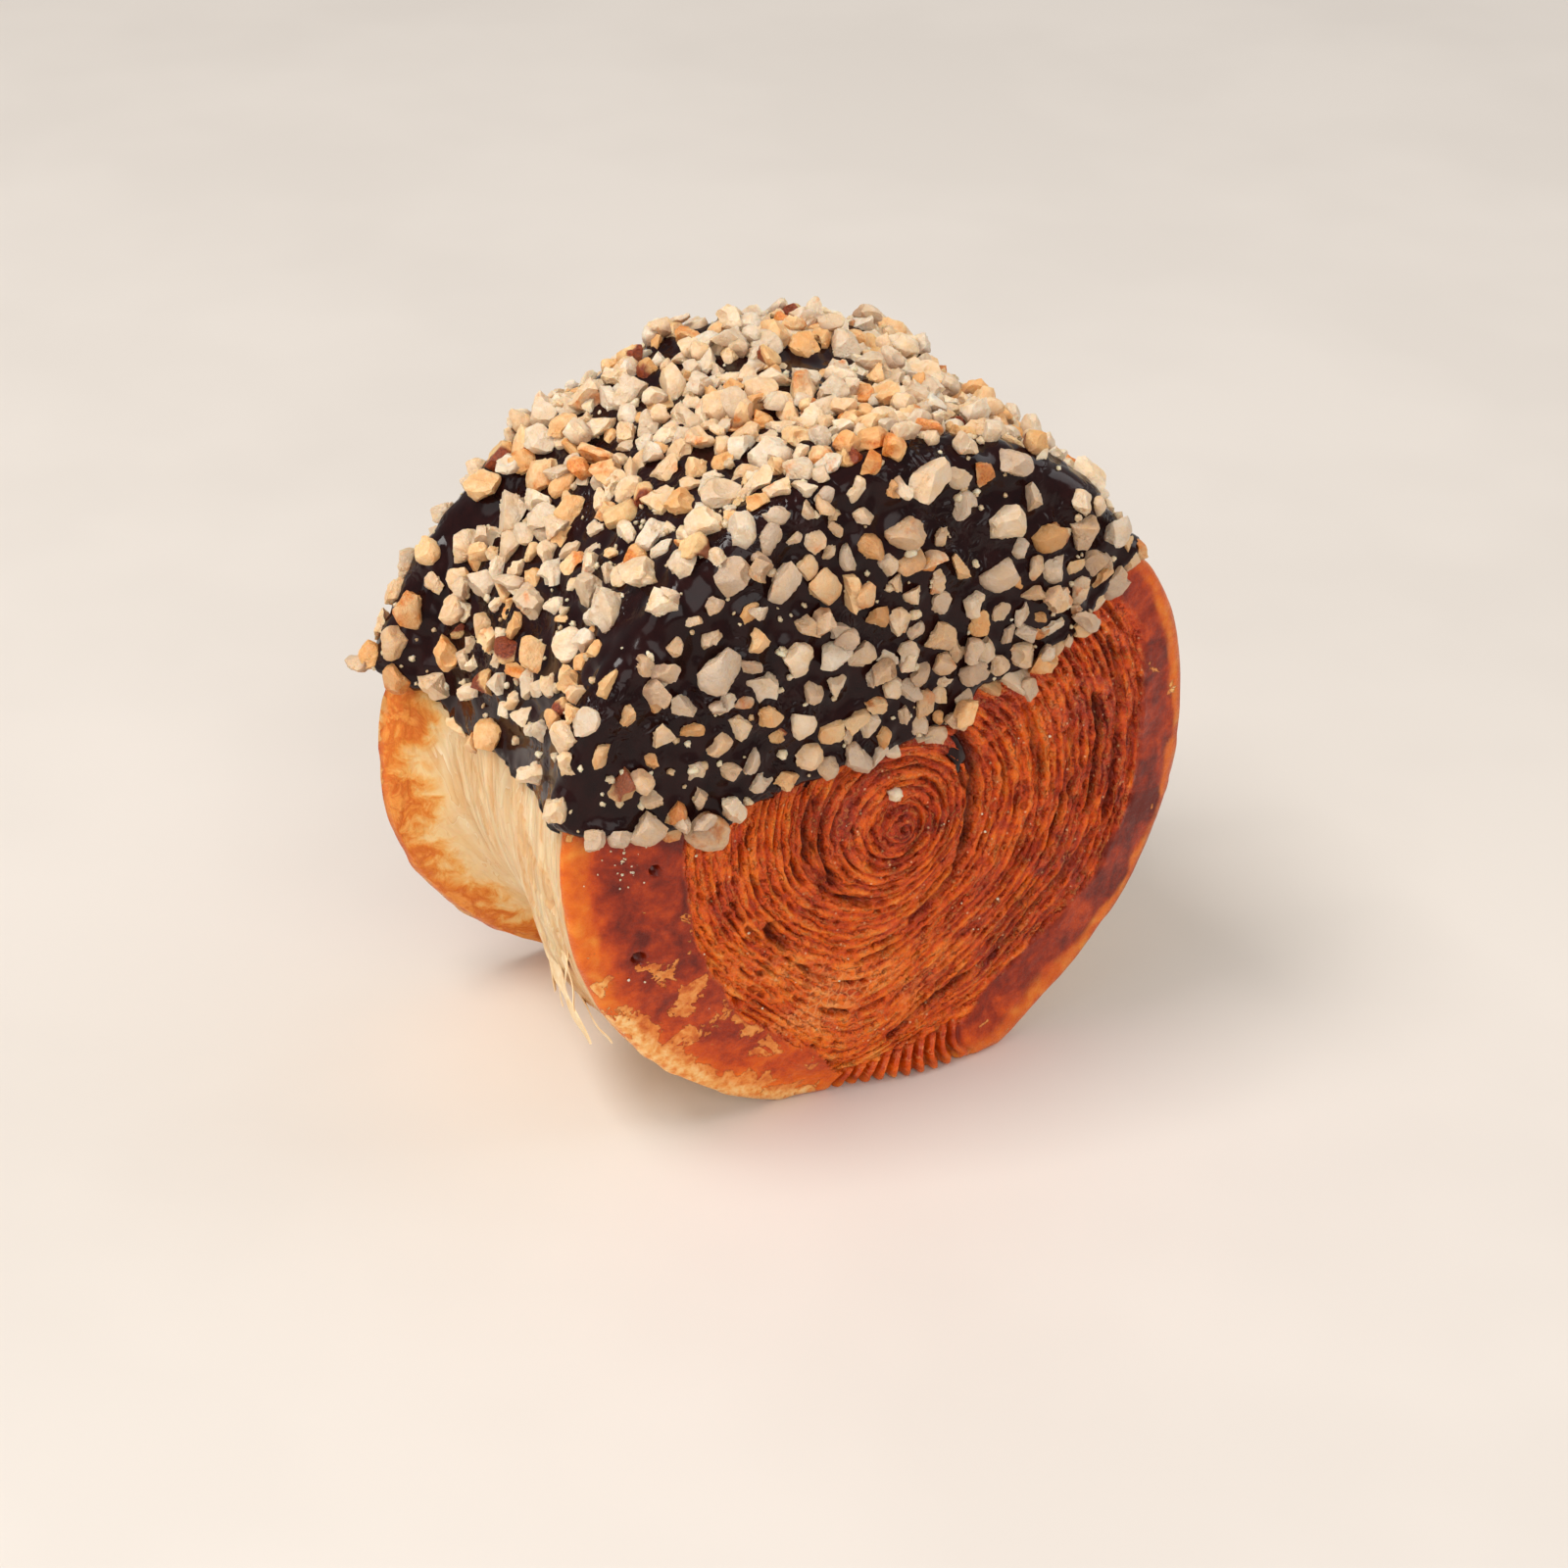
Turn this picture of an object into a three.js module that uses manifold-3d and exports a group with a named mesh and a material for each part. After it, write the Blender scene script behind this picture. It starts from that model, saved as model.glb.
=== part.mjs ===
// A croissant roll: a strip of layered dough wound into a thick round, baked in a ring, stood on
// its side and dipped in chocolate. Millimetres, +Z up. The roll's axis lies along Y, and the
// face with the open spiral that is seen best looks toward -Y.
import * as THREE from 'three';
import { mergeVertices } from 'three/addons/utils/BufferGeometryUtils.js';
import Module from 'manifold-3d';

// ---- Driving dimensions ----
const RIM_RADIUS = 53.7; // front rim, from the roll's axis
const RIM_DENT = 2.6; // the front rim is dented at the upper right
const WAIST_RADIUS = 48.8; // the side wall is drawn in between its two rims
const BACK_RADIUS = 53.5; // back rim
const BACK_BULGE = 6.9; // the back rim swells out further at the lower left
const BACK_DROOP = 3; // and lies lower at the top
const FILLED_WAIST = 3.4; // the waist is fuller at the top
const PRESSED_WAIST = 4.2; // and at the bottom, where the roll's weight presses it flat
const SAGGED_WAIST = 5; // and sags near the front rim at the lower left
const AXIS_HEIGHT = 52; // the roll's axis over the flat that it rests on
const DEPTH = 56; // from front rim to back rim
const FRONT_DOME = 2.8; // how far the middle of each face stands out past its rim
const BACK_DOME = 2;
const RIM_SHARE = 0.965; // where each face turns over into its rim, as a share of the radius
const BACK_EDGE = 1.2; // how far the back face lies past its rim
const STRIP_THICKNESS = 13; // the wound strip of dough, so the pitch of the spiral
const SEAM_DEPTH = 1.6; // the groove between one turn of the strip and the next
const SEAM_WIDTH = 1.7;
const LAYER_RELIEF = 0.4; // a softer ripple of the strip's own layers
const LAYER_WAVES = 3;
const BAND_START = 38; // the outer band of each face is smooth
const COAT_GAP = 0.4; // clearance between the dough and the coat
const COAT_THICKNESS = 1.9;

// The spiral winds round a point a little below the roll's axis.
const SPIRAL_CENTRE = { x: 1.2, z: -5 };

// The strip ends at the bottom of the front rim, in a row of bent layer ends.
const STRIP_END = degrees(-97);
const END_TEETH = 9;
const TOOTH_ANGLE = degrees(2.9);
const TOOTH_NOTCH = 1.3;
const TOOTH_REACH = 5; // how far back along the wall the notches run
const END_BEND = 7.5; // how far the layers bend outward there
const END_BULGE = 3.1; // the loose end of the strip stands out past the round rim
const END_FLARE = 4; // and leans forward

// ---- Mesh resolution ----
const COLUMNS = 64; // around the roll, besides those of the strip's end
const FRONT_RINGS = 18;
const BACK_RINGS = 10;
const WALL_STATIONS = [0.4, 1.6, 4.5, 9, 16, 26, 36, 44, 48, 51, 53.5, DEPTH];
const COAT_COLUMNS = 54;
const COAT_FACE_RINGS = 6;

function degrees(value) {
  return (value * Math.PI) / 180;
}

function smoothstep(low, high, value) {
  const t = Math.min(1, Math.max(0, (value - low) / (high - low)));
  return t * t * (3 - 2 * t);
}

function bell(offset, width) {
  return Math.exp(-((offset / width) ** 2));
}

// The angle from one direction to another, between -PI and PI.
function turn(from, to) {
  const difference = to - from;
  return Math.atan2(Math.sin(difference), Math.cos(difference));
}

// ---- Outline and side wall ----

// Slow unevenness of the hand-rolled outline.
function wobble(angle, y) {
  const around = Math.sin(3 * angle + 0.6) * 0.35 + Math.sin(7 * angle + 2.1) * 0.22;
  const along = Math.sin(5 * angle + y / 6) * 0.2;
  return around + along;
}

// A swelling of the outline round one direction.
function swelling(height, direction, width, angle) {
  return height * bell(turn(degrees(direction), angle), degrees(width));
}

// The strip's loose end swells the outline from the bottom of the rim to the lower right.
function endBulge(angle, y) {
  const place = (turn(degrees(-90), angle) * 180) / Math.PI;
  const bulge = END_BULGE * smoothstep(-3, 22, place) * smoothstep(99, 54, place);
  return bulge * (1 - 0.4 * smoothstep(10, 50, y));
}

// The wall's radius before the roll is set down: a rim at each end and a waist between them.
function freeRadius(angle, y) {
  const filled = swelling(FILLED_WAIST, 88, 62, angle);
  const pressed = swelling(PRESSED_WAIST, -90, 32, angle);
  const sagged = swelling(SAGGED_WAIST, -140, 28, angle) * bell(y - 17, 13);
  const waist = WAIST_RADIUS + filled + pressed + sagged;
  const drooped = swelling(BACK_DROOP, 118, 36, angle);
  const back = BACK_RADIUS - drooped + swelling(BACK_BULGE, -148, 50, angle);
  const rim = RIM_RADIUS - swelling(RIM_DENT, 43, 11, angle);
  const frontRim = (rim - waist) * bell(y - 1.5, 11);
  const backRim = (back - waist) * bell(y - DEPTH, 4.8);
  return waist + frontRim + backRim + endBulge(angle, y) + wobble(angle, y);
}

// How far the strip's loose end leans forward at the front rim.
function endFlare(angle, y) {
  return swelling(END_FLARE, -79, 17, angle) * smoothstep(9, 0.4, y);
}

// How deep the notches between the bent layer ends cut into the front rim.
function toothNotch(angle, y) {
  const position = turn(STRIP_END, angle) / TOOTH_ANGLE;
  if (position < -0.5 || position > END_TEETH) {
    return 0;
  }
  return TOOTH_NOTCH * Math.max(0, Math.cos(2 * Math.PI * position)) * smoothstep(TOOTH_REACH, 1, y);
}

// The flat that the roll rests on cuts the radius off at a fixed height under the axis.
function wallRadius(angle, y, grow) {
  const down = -Math.sin(angle);
  const radius = freeRadius(angle, y) + grow;
  return down > 0 ? Math.min(radius, AXIS_HEIGHT / down) : radius;
}

// ---- The two faces ----

// A place on a face, seen from the middle of the spiral. Near the rim the layers follow the
// outline, and at the strip's end they bend out toward it.
function spiralPlace(x, z) {
  const radius = Math.hypot(x, z);
  const centring = 1 - Math.min(1, radius / RIM_RADIUS) ** 2;
  const fromX = x - SPIRAL_CENTRE.x * centring;
  const fromZ = z - SPIRAL_CENTRE.z * centring;
  const angle = Math.atan2(fromZ, fromX);
  const bend = END_BEND * bell(turn(STRIP_END, angle), degrees(18)) * smoothstep(15, 38, radius);
  return { distance: Math.hypot(fromX, fromZ) - bend, angle };
}

// Relief of the open spiral: a seam between turns, the layers between, and a smooth outer band.
function spiralRelief(x, z) {
  const place = spiralPlace(x, z);
  const wound = (turn(STRIP_END, place.angle) + 2 * Math.PI) % (2 * Math.PI);
  const position = place.distance / STRIP_THICKNESS + wound / (2 * Math.PI);
  const seam = bell(position - Math.round(position), SEAM_WIDTH / STRIP_THICKNESS);
  const layers = 0.5 - 0.5 * Math.cos(2 * Math.PI * LAYER_WAVES * position);
  const open = smoothstep(BAND_START + 6, BAND_START, Math.hypot(x, z));
  return open * (SEAM_DEPTH * seam + LAYER_RELIEF * layers);
}

function domed(share, height) {
  return height * (1 - share ** 2.2);
}

// ---- Solids ----

// A closed skin round the Y axis, from a ring of points for each station between two poles.
function polarSolid(angles, rings, frontPole, backPole) {
  const positions = [...frontPole];
  const indices = [];
  const count = angles.length;
  rings.forEach((ring) => {
    angles.forEach((angle) => {
      positions.push(...ring(angle));
    });
  });
  positions.push(...backPole);
  const last = rings.length * count + 1;
  const at = (ring, column) => 1 + ring * count + (column % count);
  for (let column = 0; column < count; column += 1) {
    indices.push(0, at(0, column), at(0, column + 1));
    for (let ring = 0; ring < rings.length - 1; ring += 1) {
      const a = at(ring, column);
      const b = at(ring + 1, column);
      const c = at(ring + 1, column + 1);
      const d = at(ring, column + 1);
      indices.push(a, b, c, a, c, d);
    }
    indices.push(last, at(rings.length - 1, column + 1), at(rings.length - 1, column));
  }
  const geometry = new THREE.BufferGeometry();
  geometry.setAttribute('position', new THREE.Float32BufferAttribute(positions, 3));
  geometry.setIndex(indices);
  return geometry;
}

// One skin of the roll, grown outward all round. The dough is the bare skin; the coat lies
// between two grown ones, which bridge the spiral's grooves.
function rollSkin({ angles, faceRings, backRings, stations, grow, relief, toothed }) {
  const rimFront = stations[0];
  const face = (share, front) => (angle) => {
    const station = front ? rimFront : DEPTH;
    const edge = front ? toothNotch(angle, station) * smoothstep(0.85, RIM_SHARE, share) : 0;
    const radius = share * wallRadius(angle, station, grow) - (toothed ? edge : 0);
    const x = radius * Math.cos(angle);
    const z = radius * Math.sin(angle);
    const dome = domed(share, front ? FRONT_DOME : BACK_DOME) + grow;
    const groove = relief * spiralRelief(x, z);
    const flare = endFlare(angle, 0) * smoothstep(0.78, 1, share);
    const y = front ? -dome + groove - flare : DEPTH + BACK_EDGE + dome - groove;
    return [x, y, AXIS_HEIGHT + z];
  };
  const wall = (station) => (angle) => {
    const radius = wallRadius(angle, station, grow) - (toothed ? toothNotch(angle, station) : 0);
    const outward = smoothstep(DEPTH - 2, DEPTH, station) - smoothstep(2, 0.4, station);
    const y = station + grow * outward - endFlare(angle, station);
    return [radius * Math.cos(angle), y, AXIS_HEIGHT + radius * Math.sin(angle)];
  };
  const shares = (count) => {
    return Array.from({ length: count }, (_, index) => (RIM_SHARE * (index + 1)) / count);
  };
  const rings = [
    ...shares(faceRings).map((share) => face(share, true)),
    ...stations.map(wall),
    ...shares(backRings).reverse().map((share) => face(share, false)),
  ];
  const pole = (front) => {
    const groove = relief * spiralRelief(0, 0);
    const y = front ? -FRONT_DOME - grow + groove : DEPTH + BACK_EDGE + BACK_DOME + grow - groove;
    return [0, y, AXIS_HEIGHT];
  };
  return polarSolid(angles, rings, pole(true), pole(false));
}

function evenAngles(count) {
  return Array.from({ length: count }, (_, index) => -Math.PI + (2 * Math.PI * index) / count);
}

// Columns for the dough: even ones, with a finer run along the bent layer ends.
function doughAngles() {
  const runStart = STRIP_END - TOOTH_ANGLE / 2;
  const runEnd = STRIP_END + TOOTH_ANGLE * (END_TEETH - 0.5);
  const coarse = evenAngles(COLUMNS).filter((angle) => angle < runStart || angle > runEnd);
  const fine = [];
  for (let step = -0.5; step <= END_TEETH - 0.5; step += 0.5) {
    fine.push(STRIP_END + TOOTH_ANGLE * step);
  }
  return [...coarse, ...fine].sort((one, other) => one - other);
}

function toManifold(geometry) {
  const mesh = new wasm.Mesh({
    numProp: 3,
    vertProperties: Float32Array.from(geometry.getAttribute('position').array),
    triVerts: Uint32Array.from(geometry.getIndex().array),
  });
  return new wasm.Manifold(mesh);
}

function fromManifold(solid) {
  const mesh = solid.getMesh();
  const geometry = new THREE.BufferGeometry();
  geometry.setAttribute('position', new THREE.BufferAttribute(mesh.vertProperties, 3));
  geometry.setIndex(new THREE.BufferAttribute(mesh.triVerts, 1));
  return geometry;
}

function makeDough() {
  return rollSkin({
    angles: doughAngles(),
    faceRings: FRONT_RINGS,
    backRings: BACK_RINGS,
    stations: WALL_STATIONS,
    grow: 0,
    relief: 1,
    toothed: true,
  });
}

// How high the chocolate's lower edge lies over the roll's axis: level on the left, swollen past
// the middle, rising to the right, and uneven where it ran.
function dipHeight(x, y) {
  const swell = 6 * bell(x + 2, 14);
  const rise = 25 * (Math.max(0, x + 5) / 47) ** 1.25;
  const run = 0.9 * Math.sin(x / 3.1 + 0.5) + 0.7 * Math.sin(y / 2.6 + x / 9);
  return 4.4 + swell + rise + run;
}

// A block over the dip line that holds all that the chocolate covers.
function dippedSpace() {
  const width = 140;
  const depth = 90;
  const height = 120;
  const block = new THREE.BoxGeometry(width, depth, height, 52, 34, 1);
  block.deleteAttribute('normal');
  block.deleteAttribute('uv');
  block.translate(0, DEPTH / 2, AXIS_HEIGHT + height / 2);
  const position = block.getAttribute('position');
  for (let index = 0; index < position.count; index += 1) {
    if (position.getZ(index) < AXIS_HEIGHT + 1) {
      const edge = dipHeight(position.getX(index), position.getY(index));
      position.setZ(index, AXIS_HEIGHT + edge);
    }
  }
  return mergeVertices(block);
}

function makeCoat() {
  const skin = (grow) => {
    return rollSkin({
      angles: evenAngles(COAT_COLUMNS),
      faceRings: COAT_FACE_RINGS,
      backRings: COAT_FACE_RINGS,
      stations: WALL_STATIONS,
      grow,
      relief: 0,
      toothed: false,
    });
  };
  const outer = toManifold(skin(COAT_GAP + COAT_THICKNESS));
  const inner = toManifold(skin(COAT_GAP));
  const covered = toManifold(dippedSpace());
  return fromManifold(outer.intersect(covered).subtract(inner));
}

function namedMesh(name, geometry, colour, roughness) {
  const solid = geometry;
  solid.computeVertexNormals();
  const material = new THREE.MeshStandardMaterial({ color: colour, roughness, metalness: 0 });
  const mesh = new THREE.Mesh(solid, material);
  mesh.name = name;
  return mesh;
}

const wasm = await Module();
wasm.setup();

const group = new THREE.Group();
group.add(namedMesh('dough_roll', makeDough(), 0xb5652b, 0.5));
group.add(namedMesh('chocolate_coat', makeCoat(), 0x2a1712, 0.25));

// The origin is the middle of the whole roll's box, at the height of the flat that it rests on.
const box = new THREE.Box3().setFromObject(group);
const middle = box.getCenter(new THREE.Vector3());
group.position.set(-middle.x, -middle.y, -box.min.z);

export default group;
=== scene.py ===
"""A croissant roll: wound flaky dough dipped in dark chocolate, with chopped nuts.

The roll's axis lies along Y, the face with the open spiral that is seen best looks toward -Y,
and +Z is up. Shapes are worked out in millimetres about the roll's axis, with y counted from
the front rim, and turned into metres in the model's frame when a mesh is made.
"""
import math

import bpy
import numpy as np
from mathutils import Matrix, Vector, kdtree


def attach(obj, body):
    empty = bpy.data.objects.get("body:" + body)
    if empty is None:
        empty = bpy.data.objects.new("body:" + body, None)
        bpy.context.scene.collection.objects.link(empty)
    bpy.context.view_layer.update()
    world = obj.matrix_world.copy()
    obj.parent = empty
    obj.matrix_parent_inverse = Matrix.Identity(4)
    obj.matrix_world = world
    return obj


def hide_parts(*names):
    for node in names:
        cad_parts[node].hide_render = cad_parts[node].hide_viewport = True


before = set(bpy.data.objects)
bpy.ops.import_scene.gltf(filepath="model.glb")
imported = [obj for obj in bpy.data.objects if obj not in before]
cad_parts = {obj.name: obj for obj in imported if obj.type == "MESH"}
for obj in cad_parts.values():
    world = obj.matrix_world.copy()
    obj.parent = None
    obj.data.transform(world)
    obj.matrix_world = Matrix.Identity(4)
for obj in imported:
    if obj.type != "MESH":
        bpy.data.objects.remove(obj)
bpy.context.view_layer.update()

# ---- Sizes, in millimetres ----
AXIS_HEIGHT = 52.0
ROLL_AXIS = np.array([2.223, -28.208, AXIS_HEIGHT])  # the front rim's centre in the model's frame
RIM_RADIUS = 53.7
RIM_DENT = 2.6
WAIST_RADIUS = 48.8
BACK_RADIUS = 53.5
BACK_BULGE = 6.9
BACK_DROOP = 3.0
FILLED_WAIST = 3.4
PRESSED_WAIST = 4.2
SAGGED_WAIST = 5.0
DEPTH = 56.0
FRONT_DOME = 2.8
BACK_DOME = 2.0
BACK_EDGE = 1.2
RIM_FILLET = 1.7
RIM_SLOPE = 1.4  # how far the near face falls back at its rim
FRONT_STATION = 0.4  # where the wall's radius counts as the near rim's
STRIP_THICKNESS = 13.0
LAYERS = 9
STRIP_END = math.radians(-97)
END_BEND = 7.5
END_BULGE = 3.1
END_FLARE = 4.0
TOOTH_ANGLE = math.radians(2.5)
TEETH = 9
COAT_THICKNESS = 1.7
COAT_ROOT = 0.9  # how far the coat's hidden inner skin lies in the dough
MM = 0.001
FACE_EDGE = RIM_RADIUS - RIM_FILLET
SEED = 20


# ---- Small mathematics ----

def smoothstep(low, high, value):
    share = np.clip((value - low) / (high - low), 0.0, 1.0)
    return share * share * (3 - 2 * share)


def bell(offset, width):
    return np.exp(-(offset / width) ** 2)


def turn(start, end):
    """The angle from one direction to another, between -pi and pi."""
    return np.arctan2(np.sin(end - start), np.cos(end - start))


def mix(low, high, share):
    return low + (high - low) * share


def toward(direction, angle, width):
    """1 at a direction in degrees, and less within a width in radians on both sides."""
    return bell(turn(math.radians(direction), angle), width)


def lattice(x, y, z, seed):
    """A repeatable random number from 0 to 1 for each whole-number place."""
    h = (x.astype(np.int64) * 374761393 + y.astype(np.int64) * 668265263
         + z.astype(np.int64) * 2147483629 + seed * 974711) & 0xFFFFFFFF
    h = ((h ^ (h >> 13)) * 1274126177) & 0xFFFFFFFF
    h = ((h ^ (h >> 16)) * 2246822519) & 0xFFFFFFFF
    return ((h ^ (h >> 15)) & 0xFFFFFF) / float(0xFFFFFF)


def noise(x, y=0.0, z=0.0, seed=0):
    """Smooth noise between -1 and 1, with a grain of about one unit."""
    x, y, z = np.broadcast_arrays(*(np.asarray(v, dtype=float) for v in (x, y, z)))
    cells = [np.floor(v) for v in (x, y, z)]
    parts = [v - c for v, c in zip((x, y, z), cells)]
    ease = [p * p * p * (p * (p * 6 - 15) + 10) for p in parts]
    total = np.zeros(x.shape)
    for dx in (0, 1):
        for dy in (0, 1):
            for dz in (0, 1):
                corner = lattice(cells[0] + dx, cells[1] + dy, cells[2] + dz, seed)
                weight = ((ease[0] if dx else 1 - ease[0]) * (ease[1] if dy else 1 - ease[1])
                          * (ease[2] if dz else 1 - ease[2]))
                total += weight * corner
    return total * 2 - 1


def fractal(x, y=0.0, z=0.0, seed=0):
    """Noise of three grains, each half as coarse and half as strong as the one before."""
    total = 0.0
    for octave in range(3):
        scale = 2.0 ** octave
        total = total + noise(x * scale, y * scale, z * scale, seed + octave) / scale
    return total / 1.75


def polar(degrees, radius):
    return radius * math.cos(math.radians(degrees)), radius * math.sin(math.radians(degrees))


def distance_to_path(x, z, places):
    """How far each point lies from a run of straight lines between (degrees, radius) places."""
    path = [polar(*place) for place in places]
    nearest = np.full(np.shape(x), 1e9)
    for (ax, az), (bx, bz) in zip(path, path[1:]):
        length = (bx - ax) ** 2 + (bz - az) ** 2
        along = np.clip(((x - ax) * (bx - ax) + (z - az) * (bz - az)) / length, 0, 1)
        nearest = np.minimum(nearest, np.hypot(x - mix(ax, bx, along), z - mix(az, bz, along)))
    return nearest


# ---- The roll's form ----

def swelling(height, direction, width, angle):
    return height * toward(direction, angle, math.radians(width))


def end_bulge(angle, y):
    """The strip's loose end swells the outline from the bottom of the rim to the lower right."""
    place = np.degrees(turn(math.radians(-90), angle))
    bulge = END_BULGE * smoothstep(-3, 22, place) * smoothstep(99, 54, place)
    return bulge * (1 - 0.4 * smoothstep(10, 50, y))


def end_flare(angle, y):
    """How far the strip's loose end leans forward at the front rim."""
    return swelling(END_FLARE, -79, 17, angle) * smoothstep(9, 0.4, y)


def free_radius(angle, y):
    """The side wall before the roll is set down: two rims and a waist between them."""
    sagged = swelling(SAGGED_WAIST, -140, 28, angle) * bell(y - 17, 13)
    waist = (WAIST_RADIUS + swelling(FILLED_WAIST, 88, 62, angle)
             + swelling(PRESSED_WAIST, -90, 32, angle) + sagged)
    drooped = swelling(BACK_DROOP, 118, 36, angle)
    back = BACK_RADIUS - drooped + swelling(BACK_BULGE, -148, 50, angle)
    rim = RIM_RADIUS - swelling(RIM_DENT, 43, 11, angle)
    front_rim = (rim - waist) * bell(y - 1.5, 11)
    back_rim = (back - waist) * bell(y - DEPTH, 4.8)
    around = np.sin(3 * angle + 0.6) * 0.35 + np.sin(7 * angle + 2.1) * 0.22
    along = np.sin(5 * angle + y / 6) * 0.2
    return waist + front_rim + back_rim + end_bulge(angle, y) + around + along


def wall_radius(angle, y):
    """The wall's radius, cut off by the flat that the roll rests on."""
    down = np.maximum(-np.sin(angle), 0.3)
    return np.minimum(free_radius(angle, y), AXIS_HEIGHT / down)


def dome(share, height):
    return height * (1 - np.clip(share, 0, 1) ** 2.2)


def near_face(share):
    """How far back the near face lies, from its middle (0) to its rim (1), without its layers."""
    return -dome(share, FRONT_DOME) + RIM_SLOPE * smoothstep(0.72, 1.0, share)


def round_axis(radius, angles, y):
    """Points at one angle each round the roll's axis."""
    return np.stack([radius * np.cos(angles), y + 0 * radius, radius * np.sin(angles)], axis=1)


CENTRE_STEPS = (0, 14, 28, 51)  # distances from the middle of the winding
CENTRE_X = (1.2, -1.2, -0.6, 0.0)
CENTRE_Z = (-5.0, -2.5, -1.2, 0.0)


def face_place(distance, angle, station):
    """Where a place of the winding lies on a face: off centre in the middle, round at the rim."""
    rim = wall_radius(angle, station) - RIM_FILLET
    full_bend = END_BEND * bell(turn(STRIP_END, angle), math.radians(19))
    bend = full_bend * smoothstep(15, 38, distance)
    squeeze = np.clip((distance - 38) / (FACE_EDGE - 38), 0, 1)
    bent = distance + bend - squeeze * (FACE_EDGE + full_bend - rim)
    x = np.interp(distance, CENTRE_STEPS, CENTRE_X) + bent * np.cos(angle)
    z = np.interp(distance, CENTRE_STEPS, CENTRE_Z) + bent * np.sin(angle)
    return x, z


BAND_EDGE = (  # the inner edge of the near face's smooth outer band: degrees, radius
    (-180, 35.5), (-171, 34.9), (-152, 36.9), (-137, 38.1), (-127, 39.9), (-113, 41.8),
    (-105, 44.0), (-98, 48.5), (-90, 51.5), (-83, 51.0), (-75, 48.5), (-66, 45.5), (-58, 44.2),
    (-49, 43.8), (-42, 45.2), (-32, 46.5), (-25, 46.3), (-13, 46.0), (-3, 45.5), (10, 45.5),
    (20, 47.4), (60, 45.0), (120, 38.0), (180, 35.5),
)
GROOVES = (  # deep grooves in the near face: half width, depth, then (degrees, radius) places
    (0.55, 1.5, ((167, 15.3), (180, 15.9), (-166, 16.2), (-153, 16.6), (-135, 16.8), (-123, 17.1),
                 (-104, 17.1))),
    (0.5, 1.1, ((178, 13.1), (-165, 13.6), (-153, 14.3), (-132, 15.4))),
    (0.75, 2.0, ((40, 13.9), (20, 13.5), (-6, 13.2), (-26, 14.7), (-43, 16.7))),
    (0.5, 1.2, ((-43, 16.7), (-57, 19.6), (-64, 20.7), (-80, 22.5))),
    (0.6, 1.5, ((-142, 26.6), (-137, 27.3), (-132, 27.4))),
    (0.6, 1.7, ((14, 36.2), (4, 36.9), (-17, 37.8))),
    (0.5, 1.5, ((-24, 40.4), (-35, 39.1), (-49, 38.9), (-62, 39.4), (-72, 39.6), (-80, 41.3),
                (-87, 43.8))),
    (0.4, 1.0, ((8, 31.0), (-12, 31.8), (-30, 32.4))),
    (0.45, 1.2, ((-28, 35.2), (-44, 35.6), (-58, 36.2))),
    (0.4, 0.9, ((25, 24.5), (5, 24.8), (-10, 25.6))),
    (0.4, 1.0, ((26, 41.5), (10, 41.0), (-8, 41.2), (-20, 41.6))),
)
PITS = ((-158, 45.0, 1.0), (-178, 40.2, 0.8))  # blown holes, carved and painted dark as shade: degrees, radius, hole radius


def band_edge(angle):
    degrees, radii = zip(*BAND_EDGE)
    return np.interp(np.degrees(turn(0.0, angle)), degrees, radii)


# ---- The chocolate's lower edge ----
EDGE_FRONT_X = (-53, -51.6, -44.2, -36.6, -30.4, -27.4, -21.2, -11.6, -5, 3.3, 9.2, 11.4, 22,
                30.7, 35.8, 39.6, 46, 56)
EDGE_FRONT_Z = (5.8, 5.6, 5.3, 5.0, 3.3, 6.0, 7.9, 9.9, 10.4, 12.3, 12.6, 16.5, 18.8,
                22.8, 27.6, 29.4, 32, 34)
EDGE_LEFT_Y = (-3, 0.4, 11.3, 20.7, 29.1, 37.5, 45.3, 48.6, 50.7, 53.5, 60)
EDGE_LEFT_Z = (6.5, 7.2, 4.8, 4.3, 4.0, 3.0, 1.4, 3.4, 4.8, 5.9, 6.4)


def over_edge(points):
    """How far each point lies over the chocolate's lower edge."""
    x, y, z = points.T
    front = np.interp(x, EDGE_FRONT_X, EDGE_FRONT_Z)
    left = np.interp(y, EDGE_LEFT_Y, EDGE_LEFT_Z)
    even = 6.5 + 25 * np.maximum(0, (x + 12) / 55) ** 1.2
    far = smoothstep(4, 14, y)
    level = np.where(x < -30, mix(front, left, smoothstep(0.5, 2.5, y)), mix(front, even, far))
    ragged = 0.55 * noise(x / 2.3, y / 2.3, seed=71) + 0.3 * noise(x / 1.0, y / 1.0, seed=72)
    side = smoothstep(1, 4, y) * (x < -30)
    stairs = np.abs(((y + 1.2 * noise(y / 4, seed=73)) / 3.1) % 1.0 - 0.35)
    return z - level - ragged - side * 2.2 * (stairs - 0.3)


# ---- Meshes from rings ----

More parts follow.
